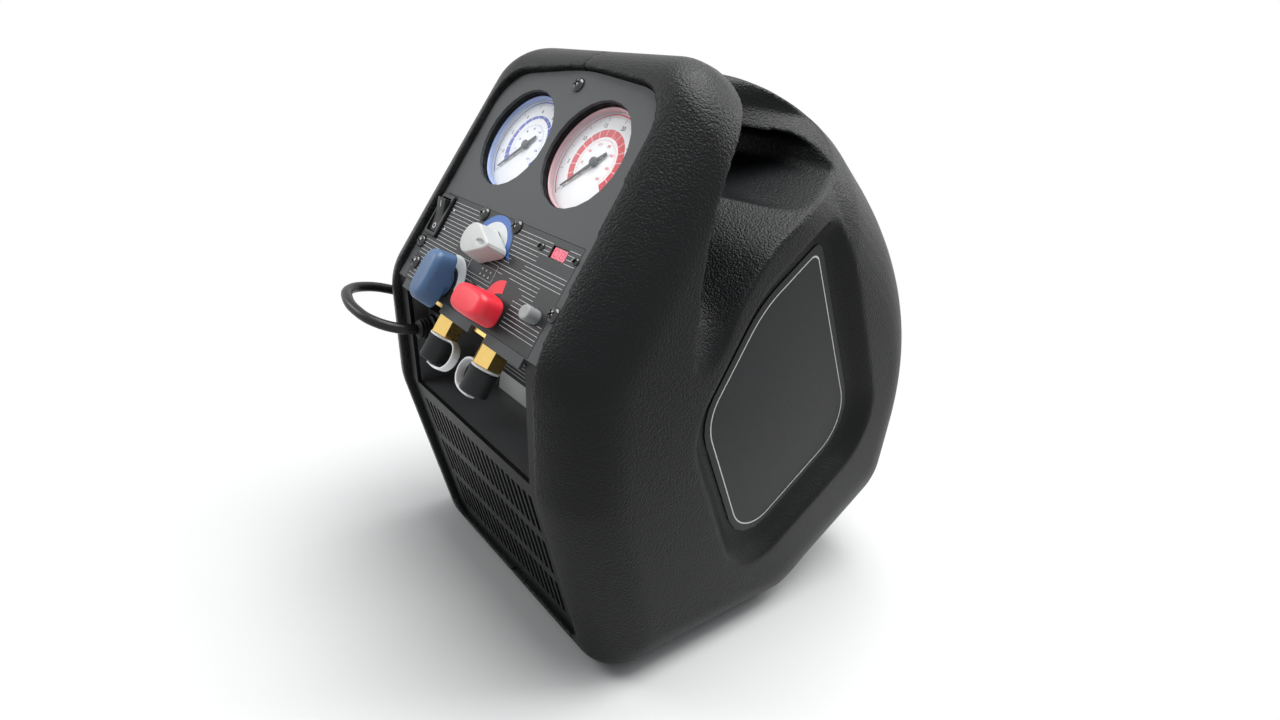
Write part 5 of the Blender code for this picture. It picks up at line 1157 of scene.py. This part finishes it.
def dial_ticks():
    parts = []
    for k in range(91):
        reach = 27.4 if k % 5 else 26.8 if k % 10 else 25.8
        wide = 0.2 if k % 10 else 0.34
        tick = bar(reach, 28.6, -wide / 2, wide / 2)
        parts.append(painted(spoke(tick, SCALE_START - TICK_STEP * k), MAIN_INK))
    for k in range(55):
        tick = bar(13.4, 14.6 if k % 5 else 15.0, -0.09, 0.09)
        parts.append(painted(spoke(tick, SCALE_START - FINE_STEP * k), FINE_INK))
    return parts


def dial_print(numbers, middle, end):
    """All print of one dial; its band is middle mm broad at the top and end mm broad at its ends."""
    parts = dial_ticks()
    for number, angle in numbers:
        spot = Vector((math.cos(math.radians(angle)), math.sin(math.radians(angle)), 0)) * NUMBER_RADIUS * MM
        parts.append(painted(put(words(number, 3.6 * MM), Matrix.Translation(spot)), NUMBER_INK))
        other = words(str(int(abs(float(number)) * OTHER_UNIT)), 2.2 * MM)
        place = Matrix.Translation(spot * (FINE_NUMBER_RADIUS / NUMBER_RADIUS))
        parts.append(painted(put(other, place), FINE_INK))
    parts.append(painted(band(28.9, 29.8, 228, -48), FINE_INK))
    for k in range(BANDS):
        start = SCALE_START - BAND_STEP * k
        stop = SCALE_START - BAND_STEP * (k + 1) + (1.2 if k % 2 else 0)
        inner = BAND_OUTER - (middle + (end - middle) * abs(k - 14.5) / 14.5)
        parts.append(painted(band(inner, BAND_OUTER, start, stop, 6), BAND_INK))
    return merged(parts)


# %% [markdown]
# The crown, the rim and the needle's cap are round, so each is one profile spun about the gauge's
# middle. The crown has an inner and an outer face, as the real shell has.

# %% The two gauges
GAUGE_X, GAUGE_S, DIAL_H = 35, 108, -9.5 * MM
CROWN = [(0, -3.0), (8, -3.15), (16, -3.6), (23, -4.4), (28, -5.3), (30, -5.9), (31.4, -6.6), (31.4, -7.6),
         (30, -7.6), (28, -6.5), (23, -5.4), (16, -4.6), (8, -4.1), (0, -4.0)]
RIM = [(30.4, -8.8), (31.6, -8.8), (31.6, -5.6), (31.3, -5.2), (30.8, -5.2), (30.4, -5.8), (30.4, -8.8)]
NEEDLE_CAP = [(0, 3.2), (1.4, 3.1), (2.4, 2.7), (2.8, 2.2), (2.8, 1.7), (0, 1.7)]
LOW = [("-1", 225), ("0", 198), ("2", 165), ("4", 130), ("6", 95), ("8", 60), ("10", 25), ("12", -10),
       ("15", -45)]
HIGH = [("0", 225), ("5", 186.4), ("10", 147.9), ("15", 109.3), ("20", 70.7), ("25", 32.1), ("30", -6.4),
        ("35", -45)]


def gauge(name, sign, numbers, middle, end, colour, rim):
    at = on_panel(sign * GAUGE_X, GAUGE_S)
    face = put(dial_print(numbers, middle, end), at @ Matrix.Translation((0, 0, DIAL_H + INK)))
    piece(name + "_gauge_scale", face, ["ink", colour, colour, "ink"], "machine")
    crown = piece(name + "_gauge_crown", put(spun(metres(CROWN), 72), at), ["glass"], "machine")
    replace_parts(crown, name + "_gauge_lens")
    piece(name + "_gauge_rim", put(spun(metres(RIM), 72), at), [rim], "machine")
    cap = spun(metres([(radius, DIAL_H / MM + height) for radius, height in NEEDLE_CAP]), 32)
    piece(name + "_needle_cap", put(cap, at), ["ink"], name + "_needle")


gauge("low", -1, LOW, 1.8, 4.6, "dial_blue", "rim_blue")
gauge("high", 1, HIGH, 4.6, 4.6, "dial_red", "rim_red")

# %% [markdown]
# ## Printed film
# The lower half of the panel carries a film with thin light lines, which stop before every ring,
# box and screw. The lines could be cut away with Booleans, but sums are simpler: each line is cut
# into runs between the stretches that circles and boxes on the panel keep free.

# %% Lines on the film
SELECTOR, VALVE_X, VALVE_S, RESET, READOUT_S = (-4, 41.5), 26.3, 11.2, (64.6, 20.6), 54.1
HALF_RING = (*SELECTOR, 21.4)
FREE_CIRCLES = [(*SELECTOR, 13), (-VALVE_X, VALVE_S, 18.2), (28, 17, 13.6), (*RESET, 5.6), (-24, 58, 5.2),
                (12.4, 58.5, 5.2), (77, 26, 5.4), (-71, 12.5, 5.4), (1, 15.3, 5.4), (41.3, READOUT_S, 2.9),
                (72.7, READOUT_S, 2.9)]
FREE_BOXES = [(-78, -61.5, 31.5, 61), (-14.5, 16, 23.5, 35), (49.6, 64.4, 50.2, 58.2), (22, 36, 38.2, 43),
              (43, 71, 44, 48.6), (21, 29, 28, 32.5), (36, 46, 22.5, 27.5), (57, 71, 25, 35),
              (30, 70, 2.5, 6.8), (16, 41, 0, 29.5), (-34, -12, 30, 36)]
LINES, FIRST_LINE, LINE_STEP, LINE_HALF, FILM_HALF, SHORTEST_RUN = 24, 58, 2.4, 0.11, 73.4, 4


def free_runs(s, low, high):
    """Stretches of a line at height s that no ring, box or screw interrupts."""
    blocked = [(x0, x1) for x0, x1, s0, s1 in FREE_BOXES if s0 < s < s1]
    for x, centre, radius in FREE_CIRCLES + ([HALF_RING] if s > HALF_RING[1] else []):
        if abs(s - centre) < radius:
            half = math.sqrt(radius ** 2 - (s - centre) ** 2)
            blocked.append((x - half, x + half))
    runs, start = [], low
    for x0, x1 in sorted(blocked):
        if x0 > start:
            runs.append((start, min(x0, high)))
        start = max(start, x1)
    if start < high:
        runs.append((start, high))
    return [(a, b) for a, b in runs if b - a > SHORTEST_RUN]


def printed(name, parts, surfaces):
    """Print on the panel, just proud of the film."""
    return piece(name, put(merged(parts), on_panel(0, 0, 0.02)), surfaces, "machine")


lines = []
for k in range(LINES):
    s = FIRST_LINE - LINE_STEP * k
    lines += [bar(x0, x1, s - LINE_HALF, s + LINE_HALF) for x0, x1 in free_runs(s, -FILM_HALF, FILM_HALF)]
printed("film_lines", lines, ["print_white"])

# %% [markdown]
# The marks round the knobs show which way they turn: a half ring for the changeover knob, a part
# ring for the inlet and a red wedge for the outlet, which gets narrower as it goes round. The wedge
# is one flat outline between two arcs with different middles. A small table of arrows lies between
# the knobs.

# %% Rings, wedge and table
WHITE_PRINT, BLUE_PRINT, RED_PRINT = range(3)
BOX_LINES = [(-13.5, 15, 34.3, 34.5), (-13.5, 15, 24, 24.2), (-13.5, -13.3, 24, 34.5), (14.8, 15, 24, 34.5),
             (-13.5, 15, 31.6, 31.75)]
film_marks = [painted(moved(band(15.8, 20, -2, 182), *SELECTOR), BLUE_PRINT),
              painted(moved(band(10.4, 15.8, -2, 182), *SELECTOR), WHITE_PRINT),
              painted(moved(band(11, 18.4, -6, 104), -VALVE_X, VALVE_S), WHITE_PRINT)]
tip = slab(metres([(11.8, 40.9), (16, 40.9), (21, 39.4), (16.6, 44.6)]), 0, INK)
film_marks.append(painted(tip, BLUE_PRINT))
wedge = []
for x, s, radius, start, sweep, count in ((27.7, 17, 12.4, 182, -95, 20), (31.2, 7.5, 14.8, 94.6, 56, 16)):
    for k in range(count + 1):
        angle = math.radians(start + sweep * k / count)
        wedge.append((x + radius * math.cos(angle), s + radius * math.sin(angle)))
film_marks.append(painted(slab(metres(wedge), 0, INK), RED_PRINT))
film_marks += [painted(bar(*sides), WHITE_PRINT) for sides in BOX_LINES]
for x in (1.5, 6, 10.5):
    for s in (29.4, 26.2):
        arrow = slab(metres([(x - 0.7, s - 0.6), (x + 0.7, s - 0.6), (x, s + 0.8)]), 0, INK)
        film_marks.append(painted(arrow, WHITE_PRINT))
for s in (52.5, 39.5):
    film_marks.append(painted(moved(annulus(0.1 * MM, 0.75 * MM, 20), -58.6, s), WHITE_PRINT))
printed("film_marks", film_marks, ["print_white", "print_blue", "print_red"])

# %% [markdown]
# ## Knobs
# The changeover knob is a round hub drawn out to a pointer, with a thumb dent. The two valve knobs
# are bars on round skirts. A cube with bevels would look machined, so all three are lofts: each row
# scales an outline and blends it from round to its own shape, and the top rows follow a quarter
# circle, so the edge is soft.

# %% Rows and outlines of the knobs
KNOB_POINTS = 72


def knob(rows, reach):
    """Loft of rows (height, scale, blend); reach gives the outline's radius at an angle."""
    loops = []
    for height, scale, blend in rows:
        loop = []
        for k in range(KNOB_POINTS):
            angle = math.tau * k / KNOB_POINTS
            radius = reach(angle, blend) * scale
            loop.append((radius * math.cos(angle), radius * math.sin(angle), height * MM))
        loops.append(loop)
    return loft(loops)


def crown_rows(start, height, scale, round_off, shrink):
    """Rows that go up with a slight draft and roll over at the top."""
    rows = [(start + (height - round_off - start) * k / 4, 1 + (scale - 1) * k / 4, 1) for k in range(5)]
    for k in range(1, 7):
        angle = math.pi / 2 * k / 6
        rows.append((height - round_off + round_off * math.sin(angle),
                     scale - shrink * (1 - math.cos(angle)), 1))
    return rows


def pointer_reach(angle, blend):
    """Round hub with straight sides that run to a small round tip."""
    angle = abs((angle + math.pi) % math.tau - math.pi)
    hub, tip = 10.5 * MM, 3 * MM
    far = 21 * MM - tip
    lean = math.asin((hub - tip) / far)
    reach = hub
    if angle < math.pi / 2 - lean:
        straight = hub / math.cos(math.pi / 2 - lean - angle)
        offset = math.sin(angle) * far
        rounded = math.cos(angle) * far + math.sqrt(max(tip ** 2 - offset ** 2, 0)) if offset < tip else 0
        reach = min(straight, rounded) if rounded else straight
    return hub + (reach - hub) * blend


def bar_reach(angle, blend):
    """Rounded rectangle twice as long as wide, out of a round skirt."""
    length, width, power = 17.2 * MM, 8.8 * MM, 3.4
    across = abs(math.cos(angle) / length) ** power + abs(math.sin(angle) / width) ** power
    return width + (across ** (-1 / power) - width) * blend


# %% The three knobs
POINTER_ROWS = [(0.8, 0.97, 1), (1.1, 1, 1)] + crown_rows(2, 13, 0.88, 1.4, 0.08)
BAR_ROWS = [(0.8, 0.96, 0), (1.1, 1, 0), (2.2, 1, 0), (3, 1, 0.5), (4, 1, 1)]
BAR_ROWS += crown_rows(4.6, 17, 0.93, 4.5, 0.34)
dent = bmesh.new()
bmesh.ops.create_uvsphere(dent, u_segments=24, v_segments=12, radius=1 * MM)
bmesh.ops.scale(dent, verts=dent.verts, vec=(5, 2, 2.2))
pointer = put(carved(knob(POINTER_ROWS, pointer_reach), [moved(dent, 11.5, 0, 13.5)]), on_panel(*SELECTOR))
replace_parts(piece("changeover_knob", pointer, ["knob_grey"], "function_selector"), "function_knob")
for name, sign, turned_by, surface in (("inlet", -1, math.pi / 2, "knob_blue"), ("outlet", 1, 0, "knob_red")):
    grip = put(knob(BAR_ROWS, bar_reach), on_panel(sign * VALVE_X, VALVE_S, 0, turned_by))
    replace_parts(piece(name + "_bar_knob", grip, [surface], name + "_handle"), name + "_knob")

# %% [markdown]
# ## Screws and reset button
# The panel screws are black domed heads with a cross recess, and the display has two small slotted
# ones. Each kind is cut once and set in its places, turned a little differently, as screws are when
# they are driven home.


# %% Screws
def screw(head, height, shaft, length, slots):
    """Domed screw on Z, with one slot or a cross."""
    rows = [(0, height), (head * 0.35, height * 0.97), (head * 0.65, height * 0.82),
            (head * 0.87, height * 0.55), (head * 0.98, height * 0.3), (head, height * 0.18),
            (head, 0.3 * MM), (shaft, 0.3 * MM), (shaft, -length), (0, -length)]
    reach, wide = head * 0.58, head * 0.11
    bars = [put(brick(-reach, reach, -wide, wide, height * 0.5, height * 2),
                Matrix.Rotation(math.pi / 2 * k, 4, "Z")) for k in range(slots)]
    return carved(spun(rows, 40), bars)


PANEL_SCREWS = {"top": (0, 145.8), "left": (-77, 26), "right": (77, 26), "low": (-71, 12.5),
                "middle": (1, 15.3), "knob_left": (-24, 58), "knob_right": (12.4, 58.5)}
cross_head = screw(4.3 * MM, 2.7 * MM, 1.5 * MM, 6 * MM, 2)
for k, (name, (x, s)) in enumerate(PANEL_SCREWS.items()):
    head = put(cross_head.copy(), on_panel(x, s, 0, 0.5 + k * 0.8))
    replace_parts(piece("cross_screw_" + name, head, ["screw"], "machine"), "panel_screw_" + name)
slot_head = screw(2.1 * MM, 1.4 * MM, 1 * MM, 6 * MM, 1)
for name, x in (("left", 41.3), ("right", 72.7)):
    head = put(slot_head.copy(), on_panel(x, READOUT_S, 0, 1.1))
    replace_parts(piece("slot_screw_" + name, head, ["screw"], "machine"), "display_screw_" + name)

# %% [markdown]
# The reset button is a plain grey push button. All that it needs is a small rounded edge, so a spun
# profile with a few extra points at the corner does it, and its shaft goes on down through the
# panel.

# %% Reset button
BUTTON_ROWS = [(0, 7.9), (2.6, 7.95), (3.3, 8.0), (3.75, 7.8), (3.98, 7.3), (4, 6.8), (4, -4), (0, -4)]
button = put(spun(metres(BUTTON_ROWS), 48), on_panel(*RESET))
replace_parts(piece("reset_cap", button, ["button"], "reset"), "reset_button")

# %% [markdown]
# ## Rocker switch
# The switch is a frame with a well, and a paddle that tips in it. The frame is a soft plate joined
# to a box behind the panel, with the well cut out of both. The paddle's side view is one outline,
# given thickness across, because the hollow of its face and the roll at its ends all show there.


# %% Frame of the switch
def rounded_box(wide, tall, low, high, edge, corner):
    """Rectangular plate with round corners and a softened top edge."""
    def outline(grow):
        corners = [Vector(pair) for pair in ((-wide, -tall), (wide, -tall), (wide, tall), (-wide, tall))]
        return round_corners(inset_corners(corners, [grow] * 4), [max(corner * MM - grow, 0.1 * MM)] * 4, 5)
    loops = [[(x, y, low) for x, y in outline(0)]]
    for k in range(5):
        angle = math.pi / 2 * k / 4
        rise = high - edge + edge * math.sin(angle)
        loops.append([(x, y, rise) for x, y in outline(edge * (1 - math.cos(angle)))])
    return loft(loops)


SWITCH = on_panel(-70, 46.2)
BOX_FIT = 0.999  # a hair of play for the box behind the panel
box = put(brick_mm(-5.8, 5.8, -12.5, 12.5, -22, 1), Matrix.Scale(BOX_FIT, 4))
well = brick_mm(-5.7, 5.7, -11.8, 11.8, -9, 6)
bezel = carved(rounded_box(7.8 * MM, 14.5 * MM, 0.3 * MM, 2.2 * MM, 0.8 * MM, 2), [well], [box])
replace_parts(piece("switch_frame", put(bezel, SWITCH), ["switch"], "machine"), "switch_bezel")

# %% Paddle
PADDLE = [(-11, -1.2), (-4.95, -4.5), (4.95, -4.5), (11, -1.2), (11, 3.4), (5.5, 2.55), (0, 2.0),
          (-5.5, 2.55), (-11, 3.4)]
parts = [soften(sideways(slab(metres(PADDLE), -5.2 * MM, 5.2 * MM)), 0.35 * MM, 40, 2)]
for sign, mark in ((1, bar(-0.35, 0.35, -1.9, 1.9)), (-1, annulus(1.25 * MM, 1.85 * MM, 40))):
    face = Matrix.Translation((0, sign * 7.2 * MM, 2.85 * MM))
    face = face @ Matrix.Rotation(sign * math.radians(8.7), 4, "X")
    parts.append(painted(put(mark, face @ Matrix.Translation((0, 0, 0.02 * MM))), 1))
tilt = SWITCH @ Matrix.Rotation(math.radians(12), 4, "X")
paddle = piece("switch_paddle", put(merged(parts), tilt), ["switch", "print_white"], "rocker")
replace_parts(paddle, "switch_rocker")

# %% [markdown]
# ## Display
# The display is a red window with two seven-segment figures. Each figure is laid out as the real
# part is, from seven bars with a letter each, and only the bars of the lit letters are made, as
# thin slabs on the window.

# %% Display figures
SEGMENTS = {"a": (-1.3, 1.3, 1.6, 2.2), "d": (-1.3, 1.3, -2.2, -1.6), "g": (-1.1, 1.1, -0.3, 0.3),
            "f": (-1.8, -1.2, 0.2, 2.0), "b": (1.2, 1.8, 0.2, 2.0), "e": (-1.8, -1.2, -2.0, -0.2),
            "c": (1.2, 1.8, -2.0, -0.2)}
parts = [bar(51.6, 62.6, 51.4, 56.8, 0.06 * MM)]
for x, shown in ((54.3, "abcdef"), (59.6, "abcdefg")):
    parts += [painted(moved(bar(*SEGMENTS[letter]), x, READOUT_S, 0.07), 1) for letter in shown]
piece("display_readout", put(merged(parts), on_panel(0, 0, -0.74)), ["led_on", "led"], "machine")

# %% [markdown]
# ## Ports
# Each brass port is closed by a rubber cap on a clear white tether. A sagging strap could be
# simulated, but this one is stiff and keeps its moulded loop, so it is a strip swept along a smooth
# curve, from its collar on the port to the end of the cap. The cap and the collar are spun.


# %% Caps and tethers
CAP_ROWS = [(5.8, 33.6), (5.8, 20.2), (8.4, 20.2), (8.7, 20.6), (8.7, 22.4), (8.45, 22.8), (8.5, 33.7),
            (8.2, 34.6), (7.4, 35.1), (0, 35.1), (0, 33.6), (5.8, 33.6)]
COLLAR_ROWS = [(5.8, 18.3), (8.3, 18.3), (8.6, 18.6), (8.6, 19.6), (8.3, 19.9), (5.8, 19.9), (5.8, 18.3)]
TETHER = [(7.5, -19.1), (13.2, -18.6), (18.2, -20.6), (20.6, -25.4), (19.6, -31), (15.2, -35.4), (8, -37),
          (0, -36.8)]


def strip(points, thick, wide):
    """Soft-edged strip swept along a line in the X-Y plane."""
    loops = []
    for i, point in enumerate(points):
        along = (points[min(i + 1, len(points) - 1)] - points[max(i - 1, 0)]).normalized()
        across = Vector((-along.y, along.x))
        loop = []
        for x, z, _ in rounded_loop(thick / 2, wide / 2, 0, 3.5, 20):
            spot = point + across * x
            loop.append((spot.x, spot.y, z))
        loops.append(loop)
    return loft(loops)


for name, sign in (("inlet", -1), ("outlet", 1)):
    at = on_panel(sign * VALVE_X, 0, -16)
    downward = Matrix.Rotation(math.pi / 2, 4, "X")
    cap = put(spun(metres(CAP_ROWS), 48), at @ downward)
    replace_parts(piece(name + "_rubber_cap", cap, ["cap"], name + "_cap_set"), name + "_cap")
    route = [Vector((-sign * x, y)) for x, y in TETHER]
    tether = strip([point * MM for point in smooth_line(route, 8)], 1.6 * MM, 5.5 * MM)
    collar = put(spun(metres(COLLAR_ROWS), 48), downward)
    tether = piece(name + "_tether", put(merged([tether, collar]), at), ["strap"], name + "_cap_set")
    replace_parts(tether, name + "_strap")

# %% [markdown]
# ## Plate and label borders
# A dark plate on the recess's back wall carries a pale field and lines, as thin bricks just proud
# of it. A thin pale border runs round each side label. It follows the pocket's own outline at two
# insets, and bridging those two loops makes the flat ring, which solidify then gives its thickness.

# %% Plate in the recess
WALL_Y = 54 * MM + BACK_SHIFT
plate = [painted(soften(brick(-36 * MM, 16 * MM, WALL_Y - 0.7 * MM, WALL_Y - 0.2 * MM, 142 * MM, 174 * MM),
                        0.15 * MM), 1)]
fields = [(144 * MM, 157 * MM)] + [((160 + 2.6 * k) * MM, (160 + 2.6 * k) * MM + 0.35 * MM) for k in range(5)]
plate += [brick(-34 * MM, 14 * MM, WALL_Y - 0.76 * MM, WALL_Y - 0.72 * MM, low, high) for low, high in fields]
piece("recess_plate", merged(plate), ["plate", "film"], "machine")

# %% Borders of the side labels
BORDER_INSETS, BORDER_LIFT, BORDER_THICKNESS = (24.6, 25.4), 0.84 * MM, 0.06 * MM
for name, sign in (("right", 1), ("left", -1)):
    edging = bmesh.new()
    for inset in BORDER_INSETS:
        ring_of(edging, [(0, y + BACK_SHIFT, z) for y, z in pocket_outline(inset * MM)])
    bmesh.ops.bridge_loops(edging, edges=edging.edges[:])
    for vert in edging.verts:
        vert.co.x = sign * (pocket_floor(vert.co.z) + BORDER_LIFT)
    bmesh.ops.recalc_face_normals(edging, faces=edging.faces)
    bmesh.ops.solidify(edging, geom=list(edging.faces), thickness=BORDER_THICKNESS)
    bmesh.ops.recalc_face_normals(edging, faces=edging.faces)
    piece("label_border_" + name, edging, ["plate"], "machine")

# %% [markdown]
# ## Nodes that keep their CAD shape
# Flat or hidden parts are already right in shape, so each only gets its finish, by assigning it to
# the slots of the node's own object.

# %% Finishes of the carried nodes
CARRIED = {
    "panel": ["control_panel"], "film": ["panel_overlay"], "tray": ["port_tray"], "board": ["circuit_board"],
    "alloy": ["compressor"], "fins": ["condenser_coil"], "led": ["display_module"],
    "plain_black": ["front_grille", "rear_grille", "fan_rotor", "fan_shroud", "low_gauge_body",
                    "high_gauge_body"],
    "steel": ["base_plate", "compressor_motor", "fan_motor", "pressure_switch"],
    "rubber": ["foot_front_left", "foot_front_right", "foot_rear_left", "foot_rear_right"],
    "brass": ["function_valve", "inlet_valve", "outlet_valve"],
    "white": ["low_gauge_dial", "high_gauge_dial"],
    "ink": ["low_gauge_needle", "high_gauge_needle"], "label": ["side_label_left", "side_label_right"],
}
for surface, names in CARRIED.items():
    for name in names:
        for slot in bpy.data.objects[name].material_slots:
            slot.material = FINISH[surface]
print("finishes set on", sum(len(names) for names in CARRIED.values()), "nodes")
